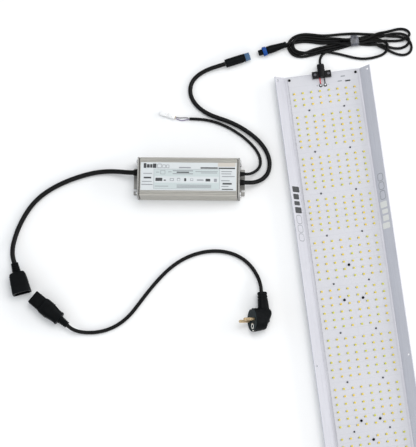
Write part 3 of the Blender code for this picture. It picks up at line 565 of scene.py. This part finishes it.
def piece(name, bm, materials, body, group=None, stands_for=(), slot=None, crease=35, matrix=None):
    """Makes the object in its group's place and rides it on its body."""
    bmesh.ops.recalc_face_normals(bm, faces=bm.faces)
    mesh = bpy.data.meshes.new(name)
    bm.to_mesh(mesh)
    bm.free()
    for material in [materials] if isinstance(materials, str) else materials:
        mesh.materials.append(MATERIALS[material])
    mesh.shade_smooth()
    mesh.set_sharp_from_angle(angle=radians(crease))
    mesh.transform((EMPTIES[group].matrix_basis if group else Matrix()) @ (matrix or Matrix()))
    obj = put_in_scene(name, mesh)
    bpy.context.view_layer.update()
    return settle_in(obj, body, stands_for)


def settle_in(obj, body, stands_for):
    """Rides a piece on its body and hides the CAD nodes that it stands for."""
    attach(obj, body)
    if stands_for:
        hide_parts(*([stands_for] if isinstance(stands_for, str) else stands_for))
    return obj


def upright(x, y, z):
    """Puts a piece's +X up at a place in millimetres."""
    return Matrix.Translation(Vector((x, y, z)) * MM) @ Matrix.Rotation(-pi / 2, 4, "Y")


# Cords


def smooth(points, spacing):
    """Points at an even spacing along a natural cubic spline through the given ones."""
    points = np.array([list(point) for point in points], float)
    steps = np.linalg.norm(np.diff(points, axis=0), axis=1)
    knots = np.concatenate([[0.0], np.cumsum(steps)])
    count = len(points)
    system = np.eye(count)
    right = np.zeros((count, 3))
    slopes = np.diff(points, axis=0) / steps[:, None]
    for i in range(1, count - 1):
        system[i, i - 1 : i + 2] = (steps[i - 1], 2 * (steps[i - 1] + steps[i]), steps[i])
        right[i] = 6 * (slopes[i] - slopes[i - 1])
    bends = np.linalg.solve(system, right)
    total = knots[-1]
    wanted = np.linspace(0, total, max(3, round(total / spacing) + 1))
    spans = np.clip(np.searchsorted(knots, wanted, "right") - 1, 0, count - 2)
    h = steps[spans][:, None]
    before = (knots[spans + 1] - wanted)[:, None]
    after = (wanted - knots[spans])[:, None]
    curved = (bends[spans] * before**3 + bends[spans + 1] * after**3) / (6 * h)
    start = (points[spans] / h - bends[spans] * h / 6) * before
    end = (points[spans + 1] / h - bends[spans + 1] * h / 6) * after
    return curved + start + end


def laid(points, radius, spacing):
    """A smooth route that stays just above the floor, for a cord of this radius."""
    path = smooth(points, spacing * MM)
    path[:, 2] = np.maximum(path[:, 2], (radius + 0.1) * MM)
    return path


def floor_route(radius, points):
    """A route's points in metres. Where no height is given, its cord lies just above the floor."""
    return [Vector(mm(*point) if len(point) == 3 else mm(*point, radius + 0.1)) for point in points]


def tube(name, points, radius, body, stands_for, material="cord"):
    """A round cord along points in metres. Its radius is in millimetres."""
    curve = bpy.data.curves.new(name, "CURVE")
    curve.dimensions = "3D"
    curve.bevel_depth = radius * MM
    curve.bevel_resolution = 5
    curve.use_fill_caps = True
    spline = curve.splines.new("POLY")
    spline.points.add(len(points) - 1)
    for target, point in zip(spline.points, points):
        target.co = (*point, 1)
    spline.use_smooth = True
    curve.materials.append(MATERIALS[material])
    return settle_in(put_in_scene(name, curve), body, stands_for)


def outlet_points(name, *beyond):
    """Points on the line of a driver outlet, at distances beyond its grommet in millimetres."""
    side, y = OUTLETS[name]
    return [at("driver", side * (GROMMET_END + x), y, EXIT_Z) for x in beyond]


def drop_on_itself(path, radius, held, rounds=260):
    """Lets a cord that starts spread out in height fall and come to rest on its earlier turns.

    The path is in millimetres. Held points stay where they are, and the rest stay near their
    own place in plan."""
    home = path[:, :2].copy()
    fixed = path[held].copy()
    width = 2 * radius * 1.02
    count = len(path)
    first, second = np.triu_indices(count, 6)
    near = np.linalg.norm(home[first] - home[second], axis=1) < 2.2 * width
    first, second = first[near], second[near]
    for turn in range(rounds):
        path[:, 2] -= 0.45 * (1 - 0.9 * turn / rounds)
        path[:, :2] += (home - path[:, :2]) * 0.05
        for _ in range(3):
            apart = path[second] - path[first]
            distance = np.linalg.norm(apart, axis=1)
            hit = distance < width
            overlap = (width - distance[hit]) / np.maximum(distance[hit], 0.01)
            push = apart[hit] * (overlap / 2)[:, None]
            moves = np.zeros_like(path)
            hits = np.zeros(count)
            np.add.at(moves, second[hit], push)
            np.add.at(moves, first[hit], -push)
            np.add.at(hits, second[hit], 1)
            np.add.at(hits, first[hit], 1)
            path += moves / np.maximum(1, hits * 0.6)[:, None]
            path[:, 2] = np.maximum(path[:, 2], radius + 0.1)
            path[held] = fixed
        for _ in range(2):
            middle = (path[:-2] + path[2:]) / 2
            path[1:-1] += (middle - path[1:-1]) * (0.03, 0.03, 0.2)
            ease_bends(path)
        path[:, 2] = np.maximum(path[:, 2], radius + 0.1)
        path[held] = fixed
    for _ in range(3):
        path[2:-2, 2] += ((path[1:-3, 2] + path[3:-1, 2]) / 2 - path[2:-2, 2]) * 0.25
    for _ in range(300):
        ease_bends(path)
    return path


def ease_bends(path):
    """Evens out, in plan, how a path bends, without pulling its folds in."""
    uneven = path[:-4] - 4 * path[1:-3] + 6 * path[2:-2] - 4 * path[3:-1] + path[4:]
    path[2:-2, :2] -= uneven[:, :2] / 16


def hank_path():
    """The panel's cord, from its clamp to its connector, in millimetres."""
    tail = [list(at("dc", x) / MM) for x in (58, 48, 40, 34.4)]
    plan = [list(point) for point in HANK_ROUTE] + [point[:2] for point in tail]
    run = np.concatenate([[0], np.cumsum(np.linalg.norm(np.diff(plan, axis=0), axis=1))])
    layers = HANK_LAYERS * 2 * PANEL_CORD * run / run[-1]
    start = [(x, y, PANEL_CORD + 0.2 + rise) for (x, y), rise in zip(plan, layers)]
    path = smooth(start, 2.6)
    order = np.linspace(0, 1, len(path))
    tied = (np.abs(path[:, 0] - sum(TIE) / 2) < 8.5) & (np.abs(path[:, 1] - TIE_Y) < 7)
    upper = order > 0.5
    path[tied & ~upper, 2] = PANEL_CORD + 0.95
    path[tied & upper, 2] = PANEL_CORD + 0.95 + 2 * PANEL_CORD + 0.1
    path[:2, 2] = CLAMP_EXIT_Z
    path[2, 2] = CLAMP_EXIT_Z - 0.2
    path[-3:, 2] = tail[-1][2]
    held = tied.copy()
    held[:3] = held[-3:] = True
    path = drop_on_itself(path, PANEL_CORD, held)
    ease = np.linspace(0, 1, 10)
    path[1:11, 2] = CLAMP_EXIT_Z + (path[10, 2] - CLAMP_EXIT_Z) * ease**2 * (3 - 2 * ease)
    return path


def add_panel_cord():
    path = laid(hank_path() * MM, PANEL_CORD, 1.8)
    nodes = [f"panel_cord_{stretch}" for stretch in ("out", "hank", "tail")]
    return tube("panel_cord", path, PANEL_CORD, "panel", nodes)


def free_cord(name, node, body, radius, start, route, end=(), spacing=2.5):
    """A cord that lies on the floor between its straight ends."""
    path = laid([*start, *floor_route(radius, route), *end], radius, spacing)
    return tube(name, path, radius, body, node)


def add_output_cord():
    ends = outlet_points("output", 0, 8), OUTPUT_ROUTE, [at("dc", x) for x in (-79, -71.3)]
    return free_cord("driver_output_cord", "output_cord", "driver_unit", OUTPUT_CORD, *ends)


def add_dim_cord():
    ends = outlet_points("dim", 0, 6), DIM_ROUTE
    return free_cord("dimming_cord", "dim_cord", "driver_unit", DIM_CORD, *ends, spacing=2)


def add_dim_wires():
    for side, name, material in ((-1, "minus", "violet"), (1, "plus", "grey_wire")):
        route = [(x, y + side * apart, z) for x, y, apart, z in DIM_WIRE_ROUTE]
        path = laid(floor_route(DIM_WIRE, route), DIM_WIRE, 0.8)
        node = f"dim_wire_{name}"
        tube(f"dimming_wire_{name}", path, DIM_WIRE, "driver_unit", node, material)


def add_input_cord():
    ends = outlet_points("input", 0, 9), INPUT_ROUTE, [at("inlet", x) for x in (-60, -51.6)]
    return free_cord("driver_input_cord", "input_cord", "driver_unit", INPUT_CORD, *ends)


def add_mains_cord():
    start = [at("connector", x) for x in (MAINS_CORD_START, -80)]
    ends = start, MAINS_ROUTE, [at("plug", 21, y) for y in (52, 45.5)]
    return free_cord("mains_lead_cord", "mains_cord", "mains_lead", MAINS_CORD, *ends)


# Detail shared by the groups


def raised(outline, levels, centre=(0, 0), bm=None, kind=0):
    """A closed solid of one outline at rising heights, at a part of its size at each."""
    x, y = centre
    rings = [[mm(x + a * part, y + b * part, z) for a, b in outline] for z, part in levels]
    return loft(rings, bm=bm, kind=kind)


def disc(radius, steps=16):
    return arc((0, 0), radius, 0, 360 - 360 / steps, steps - 1)


def fluted(x, radius, depth, count, steps):
    """A ring with rounded flutes all round."""
    ring = []
    for i in range(steps):
        a = 2 * pi * i / steps
        reach = radius - depth * (0.5 - 0.5 * cos(a * count)) ** 2
        ring.append(mm(x, reach * cos(a), reach * sin(a)))
    return ring


def ribbed(start, end, count, radius_start, radius_end, depth):
    """Profile points of a tapering strain relief with grooves around it."""
    points = []
    pitch = (end - start) / count
    for i in range(count):
        x = start + i * pitch
        radius = radius_start + (radius_end - radius_start) * i / count
        points += [(x, radius - depth), (x + 0.18 * pitch, radius), (x + 0.62 * pitch, radius)]
        points += [(x + 0.8 * pitch, radius - depth)]
    return points


def carve(bm, *cutters):
    """Takes closed solids out of another one."""
    made = []
    for shape in (bm, *cutters):
        bmesh.ops.recalc_face_normals(shape, faces=shape.faces)
        mesh = bpy.data.meshes.new("carving")
        shape.to_mesh(mesh)
        shape.free()
        made.append(put_in_scene("carving", mesh))
    for tool in made[1:]:
        made[0].modifiers.new("cut", "BOOLEAN").object = tool
    carved = bmesh.new()
    carved.from_object(made[0], bpy.context.evaluated_depsgraph_get())
    for obj in made:
        bpy.data.meshes.remove(obj.data)
    return carved


def dress(material, *names, round_off=0.0):
    """Gives CAD nodes a surface, smooth shading and edges rounded by so many millimetres."""
    for name in names:
        obj = bpy.data.objects[name]
        obj.data.materials.clear()
        obj.data.materials.append(MATERIALS[material])
        obj.data.shade_smooth()
        obj.data.set_sharp_from_angle(angle=radians(32))
        if round_off:
            edges = obj.modifiers.new("edges", "BEVEL")
            edges.width = round_off * MM
            edges.segments = 2
            edges.angle_limit = radians(50)


# Panel


def led_rows():
    y = FIRST_ROW
    for rows, pitch in BLOCKS:
        for _ in range(rows):
            yield y
            y -= pitch
        y -= BLOCK_GAP - pitch


def add_leds():
    """Each LED is a pale case with a yellow lens, and a dark contact at its left end."""
    bm = bmesh.new()
    base = BOARD_TOP / MM + 0.05
    case = rounded_rectangle(1.95, 1.75, 0.4, 2)
    lens, contact = disc(1.62, 14), rounded_rectangle(0.35, 1.3, 0.1, 1)
    for y in led_rows():
        for x in COLUMNS:
            raised(case, ((base, 1), (base + 0.5, 1), (base + 0.62, 0.93)), (x, y), bm, 0)
            raised(lens, ((base + 0.6, 1), (base + 0.72, 0.95), (base + 0.8, 0.6)), (x + 0.25, y), bm, 1)
            raised(contact, ((base, 1), (base + 0.66, 1), (base + 0.7, 0.8)), (x - 1.62, y), bm, 2)
    piece("led_packages", bm, ("led_case", "phosphor", "component"), "panel")


def add_screws_and_hole_shade():
    """Small countersunk screws through the board, and larger black heads at the panel's edges: painted
    shade of its holes.
    """
    base = BOARD_TOP / MM + 0.05
    small, large = bmesh.new(), bmesh.new()
    for side in (-1, 1):
        for y in SMALL_SCREW_ROWS:
            screw(1.6, 0.8, small, 0, y, side * SMALL_SCREW_X, 0.5 + 0.02 * y)
    # Black heads as painted shade of the through-holes
    for x, y in HOLE_SHADE_HEADS:
        screw(2.15, 1.5, large, 0, y, -x, 0.3 + 0.03 * y)
    piece("board_screws_small", small, "dark_steel", "panel", matrix=upright(0, 0, base))
    piece("board_hole_shade_heads", large, "clamp", "panel", matrix=upright(0, 0, base))


def on_wing(side):
    """Axes on a wing's front: +X up its slope from the fold, +Z out of it."""
    c, s = cos(WING_ANGLE), sin(WING_ANGLE)
    columns = Matrix(((side * c, 0, -side * s, 0), (0, side, 0, 0), (s, 0, c, 0), (0, 0, 0, 1)))
    return Matrix.Translation((side * WING_FOLD[0] * MM, 0, WING_FOLD[1] * MM)) @ columns


def outlined_bar(half_a, half_b, x, y, bm, kind):
    """The outline of a rounded bar, as a closed ring of film."""
    radius = min(half_a, half_b) * 0.7
    outer = rounded_rectangle(half_a, half_b, radius)
    inner = rounded_rectangle(half_a - PRINT_LINE, half_b - PRINT_LINE, radius - PRINT_LINE)
    low, high = PRINT_LEVELS
    walls = ((outer, low), (outer, high), (inner, high), (inner, low))
    rings = [[mm(x + a, y + b, z) for a, b in outline] for outline, z in walls]
    loft(rings, looped=True, bm=bm, kind=kind)


def add_wing_prints():
    """Generic bars on each wing where a word stands: solid ones and then outlined ones."""
    # The right wing's solid bars are the same dark print, painted pale as a painted sheen
    prints = ((-1, "left", LEFT_PRINT_Y, "ink"), (1, "right", RIGHT_PRINT_Y, "sheen_painted_ink"))
    for side, name, middle, solid in prints:
        bm = bmesh.new()
        run = side * middle - 47
        for length, low in ((9.6, 1.5), (9, 4.4), (7, 4.4), (10, 2.5)):
            bar = rounded_rectangle((PRINT_TOP - low) / 2, length / 2, 1.6, 4)
            levels = [(z, 1) for z in PRINT_LEVELS]
            raised(bar, levels, ((PRINT_TOP + low) / 2, run + length / 2), bm, 0)
            run += length + 3
        for length in (15, 13, 13):
            outlined_bar(6.2, length / 2, 11, run + length / 2, bm, 1)
            run += length + 1.4
        piece(f"wing_print_{name}", bm, (solid, "pale_ink"), "panel", matrix=on_wing(side))


def add_board_print():
    """Small generic marks in the board's corner and beside the solder joints."""
    bm = bmesh.new()
    z = BOARD_TOP / MM
    levels = ((z + 0.02, 1), (z + 0.06, 1))
    for x, y, half_x, half_y, dark in BOARD_MARKS:
        raised(rounded_rectangle(half_x, half_y, 0.25, 2), levels, (x, y), bm, dark)
    piece("board_marks", bm, ("pale_ink", "ink"), "panel")


def add_solder():
    z = BOARD_TOP / MM
    for name, x in (("red", -4.7), ("black", 2.7)):
        bm = raised(disc(3.1, 24), ((z + 0.02, 1), (z + 0.1, 0.98)), (x, 459.0), None, 0)
        angles = np.linspace(0, 1.5, 7)
        levels = [(z + 0.3 + 1.7 * sin(a), max(0.05, cos(a))) for a in angles]
        raised(disc(2.0, 24), levels, (x, 459.7), bm, 1)
        node = f"solder_joint_{name}"
        piece(f"joint_{name}", bm, ("ink", "solder"), "panel", None, node, "solder")


def add_clamp():
    """The ribs round the cable clamp's neck, and its two cross-head screws."""
    bm = bmesh.new()
    rib = [(CLAMP_X + 6.0, 4.2)] + arc((CLAMP_X, 7.7), 6.0, 0, 180, 16) + [(CLAMP_X - 6.0, 4.2)]
    for y in (480.2, 483.4, 486.6, 489.8):
        loft([[mm(x, depth, z) for x, z in rib] for depth in (y, y + 1.5)], bm=bm)
    piece("clamp_ribs", bm, "clamp", "panel")
    for side, name in ((-1, "left"), (1, "right")):
        bm = screw(2.6, 1.6, None, 0, 0, 0, 0.4 * side)
        where = upright(CLAMP_X + side * 10.8, 476.5, 8.6)
        node = f"clamp_screw_{name}"
        name = f"clamp_head_{name}"
        piece(name, bm, "dark_steel", "panel", None, node, "steel_hardware", matrix=where)


def add_tape():
    """Clear tape wound round the hank, creased, with a loose end."""
    rows = []
    stations = np.linspace(TIE[0], TIE[1], 15)
    for thick, order in ((0.0, stations), (0.3, stations[::-1])):
        for x in order:
            ring = rounded_ring(x, 7.5 - thick, 5.0 - thick, 4, 72, TIE_Y, 5.35)
            pulled = []
            for i, (a, b, c) in enumerate(ring):
                wave = 0.16 * sin(1.7 * x + 0.35 * i) * sin(0.8 * x - 0.2 * i)
                edge = 0.12 * sin(0.9 * i) if x in (TIE[0], TIE[1]) else 0
                pulled.append((a + edge * MM, b + wave * MM, c + wave * 0.6 * MM))
            rows.append(pulled)
    bm = loft(rows, looped=True)
    piece("tape_tie", bm, "tape", "panel", None, "hank_tie", "tape", 60)
    section = ((54.6, 0), (64.8, 0), (64.8, 0.25), (54.6, 0.25))
    flap = []
    for i in range(9):
        a = i / 8
        y, z = 530.6 + 4.6 * a, 9.7 - 1.6 * a + 0.5 * sin(5 * a)
        flap.append([mm(x, y, z + thick) for x, thick in section])
    piece("tape_end", loft(flap), "tape", "panel", None, (), "tape", 60)


# Low-voltage connector


def add_male_connector():
    profile = [(0.3, 0), (0.3, 5.6), (0.6, 6.2), (1.1, 6.6)]
    profile += [(2.4, 6.7), (2.7, 6.35), (3.3, 6.35), (3.6, 6.68)]
    profile += [(9, 6.5), (20, 5.6), (30.4, 4.75), (30.8, 5.05), (33, 5.0), (34, 4.5), (34, 0)]
    bm = turned(profile, 56)
    piece("male_grip", bm, "plastic", "panel", "dc", "male_connector_body", "black_plastic")
    shell = [(0, 0), (0, 4.7), (-1.5, 4.7), (-1.9, 4.35), (-3.1, 4.35), (-3.5, 4.7), (-8, 4.7)]
    shell += [(-13.6, 4.6), (-14, 4.35), (-14, 3.8), (-3, 3.7), (-3, 0)]
    bm = turned(shell, 48)
    piece("male_nose", bm, "plastic", "panel", "dc", "male_connector_nose", "black_plastic")
    angles = np.linspace(0, 2 * pi, 12)[:-1]
    seal = [(-2.5 + 0.75 * cos(a), 4.65 + 0.35 * sin(a)) for a in angles]
    piece("male_seal", turned(seal, 40, True), "rubber", "panel", "dc", (), "gasket_rubber")
    pin = [(-3.3, 0), (-3.3, 0.8), (-11.6, 0.8), (-12.2, 0.6), (-12.5, 0.25), (-12.5, 0)]
    for side, name in ((-1, "lower"), (1, "upper")):
        bm = turned(pin, 24, z=side * PIN_OFFSET)
        node = f"male_contact_pin_{name}"
        piece(f"male_pin_{name}", bm, "brass", "panel", "dc", node, "contact_brass")


def add_lock_ring():
    """The blue ring: fluted outside with six lugs, bored for the nose and the other half."""
    outside = ((-0.3, 7.0, 0.1), (-0.8, 7.5, 0.5), (-5.9, 7.7, 0.8), (-6.5, 7.4, 0.5), (-6.8, 7.1, 0.15))
    outer = [fluted(x, r, depth, 6, 120) for x, r, depth in outside]
    inner = [circle(x, r, 120) for x, r in ((-6.8, 6.9), (-1.8, 6.8), (-1.8, 5.2), (-0.3, 5.2))]
    bm = loft(outer + inner, looped=True)
    piece("lock_ring_shell", bm, "blue", "lock_ring", "dc", "lock_ring", "blue_plastic")


def add_female_connector():
    grip = [(-43.6, 0), (-43.6, 5.2), (-37.3, 5.2), (-37.3, 6.3), (-37.8, 6.85), (-39.5, 6.9)]
    grip += [(-40, 6.5), (-40.8, 6.5), (-41.3, 6.9), (-54, 6.95), (-67.8, 6.9), (-68.2, 6.6)]
    grip += [(-68.8, 6.6), (-69.2, 6.9), (-70.3, 6.85), (-70.7, 6.4), (-70.7, 0)]
    bm = turned(grip, 56)
    node = "female_connector_body"
    piece("female_grip", bm, "plastic", "driver_unit", "dc", node, "black_plastic")
    outside = ((-29.1, 6.0), (-29.5, 6.4), (-36.3, 6.5), (-37, 6.3))
    outer = [fluted(x, r, 0.35, 16, 96) for x, r in outside]
    inner = [circle(x, r, 96) for x, r in ((-37, 5.2), (-30.4, 5.2), (-29.1, 5.45))]
    bm = loft(outer + inner, looped=True)
    node = "female_connector_sleeve"
    piece("female_collar", bm, "steel_blue", "driver_unit", "dc", node, "steel_blue_plastic")
    core = turned([(-43.2, 0), (-43.2, 3.4), (-31.8, 3.4), (-31.5, 3.1), (-31.5, 0)], 40)
    hole = [(-40, 0), (-40, 1.1), (-31, 1.1), (-31, 0)]
    bm = carve(core, *(turned(hole, 20, z=side * PIN_OFFSET) for side in (-1, 1)))
    node = "female_connector_insert"
    piece("female_core", bm, "plastic", "driver_unit", "dc", node, "black_plastic")


# Driver


def add_driver_print():
    """The label's print, as plain bars, boxes and lines."""
    bm = bmesh.new()
    for layer, (x, y, half_x, half_y, kind) in enumerate(LABEL_PRINT):
        z = LABEL_TOP + 0.02 + 0.004 * layer
        shape = rounded_rectangle(half_x, half_y, min(0.7, min(half_x, half_y) * 0.3), 2)
        raised(shape, ((z, 1), (z + 0.05, 1)), (x, y), bm, kind)
    piece("driver_print", bm, PRINT_INKS, "driver_unit", "driver")


def towards(side):
    """A turn that points a piece's +X out of the driver's output end, or its input end at -1."""
    return Matrix.Rotation(0 if side > 0 else pi, 4, "Z")


def add_driver_fittings():
    face = CAP_OUTER + 0.3
    for side, end in ((-1, "input"), (1, "output")):
        for i, (y, z) in enumerate(CAP_SCREWS, 1):
            bm = screw(2.7, 1.8, None, face, y, z, 0.7 * i)
            node = f"cap_screw_{end}_{i}"
            name = f"cap_head_{end}_{i}"
            look = ("steel", "driver_unit", "driver", node, "steel_hardware")
            piece(name, bm, *look, matrix=towards(side))
    for name, (side, y) in OUTLETS.items():
        neck, flange, cord = GROMMETS[name]
        profile = [(79, 0), (79, neck), (face, neck), (face, flange - 0.2), (face + 0.3, flange)]
        profile += [(face + 1.2, flange - 0.1), (face + 1.6, flange - 0.8)]
        profile += ribbed(face + 1.9, face + 7.5, 3, flange - 0.8, cord + 0.75, 0.35)
        profile += [(face + 7.6, cord + 0.3), (face + 7.6, 0)]
        bm = turned(profile, 44, y=side * y, z=EXIT_Z)
        look = ("rubber", "driver_unit", "driver", f"{name}_grommet", "gasket_rubber")
        piece(f"{name}_strain_relief", bm, *look, matrix=towards(side))


def add_dim_connector():
    body = soft_block((12.6, 6.6, 5.6), (6.6, 0, 0), 0.5)
    soft_block((6.5, 2.6, 1.0), (7.2, 0, 3.0), 0.3, body)
    for side in (-1, 1):
        soft_block((8.5, 0.7, 1.6), (5.6, side * 3.35, -0.6), 0.25, body)
        turned([(-1.0, 0), (-1.0, 1.0), (0.6, 1.0), (0.6, 0)], 16, y=side * 1.3, bm=body, kind=1)
    place = ("driver_unit", "dim_connector")
    piece("dimming_socket", body, ("nylon", "brass"), *place, "dim_connector_socket", "white_plastic")
    cap = soft_block((12.4, 7.4, 6.4), (19.4, 0, 0), 0.6)
    for x in (15.4, 17.4, 19.4):
        soft_block((0.9, 7.9, 6.8), (x, 0, 0), 0.25, cap)
    soft_block((3.2, 3.4, 1.2), (14.6, 0, 3.4), 0.3, cap)
    piece("dimming_cap", cap, "nylon", *place, "dim_connector_cap", "white_plastic")


# Inlet plug and mains lead


def add_inlet_plug():
    rings = [rounded_ring(*section, 72) for section in INLET_SECTIONS]
    mouth = [(-12.3, -8.4), (12.3, -8.4), (12.3, 3.9), (7.8, 8.4), (-7.8, 8.4), (-12.3, 3.9)]
    bm = carve(loft(rings), loft([[mm(x, y, z) for y, z in mouth] for x in (-16.5, 2)]))
    turned([(-50.8, 0)] + ribbed(-50.8, -37, 4, 6.2, 7.2, 0.8) + [(-36.8, 6.9), (-36.8, 0)], 44, bm=bm)
    for x in (-29, -26, -23, -20, -17):
        for side in (-1, 1):
            soft_block((1.5, 1.2, 14), (x, side * (12.6 + (x + 32) * 0.1), 0), 0.4, bm)
    node = "c14_plug_body"
    piece("inlet_plug_shell", bm, "plastic", "driver_unit", "inlet", node, "black_plastic")
    for name, (y, z) in MAINS_CONTACTS.items():
        blade = soft_block((14, 2, 4), (-9.2, y, z), 0.6, segments=3)
        node = f"c14_pin_{name}"
        piece(f"inlet_pin_{name}", blade, "nickel", "driver_unit", "inlet", node, "inlet_pin")


def add_appliance_connector():
    rings = [rounded_ring(*section, 72) for section in CONNECTOR_SECTIONS]
    slots = [soft_block((32, 2.7, 4.7), (1, y, z), 0.2) for y, z in MAINS_CONTACTS.values()]
    bm = carve(loft(rings), *slots)
    turned([(-72.5, 0)] + ribbed(-72.5, -57, 5, 5.4, 6.6, 0.8) + [(-56.5, 6.5), (-56.5, 0)], 44, bm=bm)
    for x in range(-36, -22, 3):
        for side in (-1, 1):
            soft_block((1.4, 1.0, 9), (x, side * 12.9, 0), 0.4, bm)
    node = "c13_connector_body"
    piece("appliance_connector", bm, "plastic", "mains_lead", "connector", node, "black_plastic")


def add_wall_plug():
    """A round earthed plug with an angled neck. Its black face, at x = 0, has a bluish painted
    reflection.
    """
    rings = [rounded_ring(*section, 80, y) for *section, y in PLUG_SECTIONS]
    recesses = [soft_block((12, 6, 6.4), (0, side * 19.4, 0), 0.4) for side in (-1, 1)]
    hole = turned([(-2, 0), (-2, 2.4), (15, 2.4), (15, 0)], 32, y=-10)
    bm = carve(loft(rings), *recesses, hole)
    neck = []
    for y, half_x, half_z in PLUG_NECK:
        ring = rounded_ring(0, half_x, half_z, 2.6, 64)
        neck.append([(PLUG_NECK_X * MM + a, y * MM, b) for _, a, b in ring])
    loft(neck, bm=bm)
    # The front faces take the bluish painted reflection
    for face in bm.faces:
        face.material_index = int(face.calc_center_median().x < 0.3 * MM)
    looks = ("plastic", "plug_face_painted_reflection")
    piece("wall_plug_shell", bm, looks, "mains_lead", "plug", "wall_plug_body", "black_plastic")
    ring = [(-0.5, 2.9), (-0.5, 4.5), (-0.25, 4.9), (0.4, 4.9), (0.4, 2.5), (-0.25, 2.5)]
    bm = turned(ring, 40, True, y=-10)
    piece("earth_ring", bm, "nickel", "mains_lead", "plug", (), "contact_brass")
    tip = [(-2.4 * cos(a) - 16.6, 2.4 * sin(a)) for a in np.linspace(0, pi / 2, 7)]
    for side, name in ((-1, "lower"), (1, "upper")):
        bm = turned([(-19, 0)] + tip[1:] + [(-0.3, 2.4), (-0.3, 0)], 36, z=side * 9.5)
        node = f"wall_plug_pin_{name}"
        piece(f"mains_pin_{name}", bm, "brass", "mains_lead", "plug", node, "contact_brass")
        end = "far" if side > 0 else "near"
        clip = bmesh.new()
        for offset in (-1.55, 1.55):
            soft_block((6, 1.2, 2.5), (2.6, side * 17.4, offset), 0.35, clip)
        soft_block((1.6, 1.1, 5.4), (4.8, side * 17.4, 0), 0.3, clip)
        node = f"earth_clip_{end}"
        piece(f"earth_spring_{end}", clip, "nickel", "mains_lead", "plug", node, "contact_brass")


def dress_cad():
    """Surfaces and rounded edges for the CAD nodes that stay in view."""
    dress("sheet", "heat_sink_tray", round_off=0.25)
    dress("board", "led_board", round_off=0.2)
    dress("clamp", "cable_clamp", round_off=0.35)
    dress("red", "wire_red")
    dress("black_wire", "wire_black")
    dress("extrusion", "driver_housing", round_off=0.3)
    dress("label", "driver_label", round_off=0.08)
    dress("cap", "end_cap_input", "end_cap_output", round_off=0.35)
    dress("rubber", "gasket_input", "gasket_output")
    dress("circuit", "driver_circuit_board")
    dress("component", "driver_transformer", "driver_capacitor", round_off=0.5)


# Stage


def add_camera():
    data = bpy.data.cameras.new("camera")
    data.sensor_width = SENSOR
    data.lens = FOCAL_PIXELS / IMAGE_HEIGHT * SENSOR
    data.clip_end = 50
    camera = put_in_scene("camera", data)
    look = Vector(CAMERA_AIM) - Vector(CAMERA_AT)
    turn = look.to_track_quat("-Z", "Y").to_matrix().to_4x4()
    roll = Matrix.Rotation(-CAMERA_ROLL, 4, "Z")
    camera.matrix_world = Matrix.Translation(CAMERA_AT) @ turn @ roll
    bpy.context.scene.camera = camera


def add_softbox(name, where, aim, width, depth, power, colour=(1, 1, 1)):
    light = bpy.data.lights.new(name, "AREA")
    light.shape = "RECTANGLE"
    light.size, light.size_y = width, depth
    light.energy = power
    light.color = colour
    obj = put_in_scene(name, light)
    direction = Vector(aim) - Vector(where)
    obj.location = where
    obj.rotation_euler = direction.to_track_quat("-Z", "Y").to_euler()


def add_stage():
    bm = bmesh.new()
    bmesh.ops.create_grid(bm, x_segments=8, y_segments=8, size=6)
    mesh = bpy.data.meshes.new("floor")
    bm.to_mesh(mesh)
    bm.free()
    mesh.materials.append(MATERIALS["floor"])
    floor = put_in_scene("floor", mesh)
    floor.location = mm(0, 0, -0.2)
    world = bpy.data.worlds.new("studio")
    world.use_nodes = True
    background = world.node_tree.nodes["Background"]
    background.inputs["Color"].default_value = (0.96, 0.98, 1, 1)
    background.inputs["Strength"].default_value = 0.62
    bpy.context.scene.world = world
    bpy.context.scene.view_settings.view_transform = "Standard"
    add_softbox("overhead", (0.5, 0.9, 2.6), (-0.1, 0.1, 0), 2.2, 1.6, 32)
    add_softbox("right_wall", (2.6, 0.3, 0.9), (0, 0.1, 0), 2.6, 1.2, 42)
    add_softbox("left_fill", (-2.6, 0.1, 0.9), (-0.3, 0.2, 0), 2.4, 1.2, 10, (0.62, 0.8, 1))
    add_softbox("front_fill", (-0.3, -2.4, 1.1), (-0.25, 0.25, 0), 2.6, 1.2, 22, (1, 0.97, 0.92))


# Assembly


# What hangs on each cord
PANEL_CORD_PIECES = ["male_grip", "male_nose", "male_seal", "male_pin_lower", "male_pin_upper"]
PANEL_CORD_PIECES += ["tape_tie", "tape_end"]
DIM_CORD_PIECES = ["dimming_wire_minus", "dimming_wire_plus", "dimming_socket", "dimming_cap"]
DIM_CORD_PIECES += ["dim_strain_relief"]
INPUT_CORD_PIECES = ["inlet_plug_shell", "inlet_pin_line", "inlet_pin_neutral", "inlet_pin_earth"]
INPUT_CORD_PIECES += ["input_strain_relief"]
MAINS_CORD_PIECES = ["appliance_connector", "wall_plug_shell", "earth_ring", "mains_pin_lower"]
MAINS_CORD_PIECES += ["mains_pin_upper", "earth_spring_far", "earth_spring_near"]


def main():
    dress_cad()
    panel_cord = add_panel_cord()
    output_cord = add_output_cord()
    dim_cord = add_dim_cord()
    add_dim_wires()
    input_cord = add_input_cord()
    mains_cord = add_mains_cord()
    for build in (
        add_leds, add_screws_and_hole_shade, add_wing_prints, add_board_print, add_solder, add_clamp,
        add_tape, add_male_connector, add_lock_ring, add_female_connector, add_driver_print,
        add_driver_fittings, add_dim_connector, add_inlet_plug, add_appliance_connector,
        add_wall_plug,
    ):
        build()
    add_stage()
    add_camera()


main()
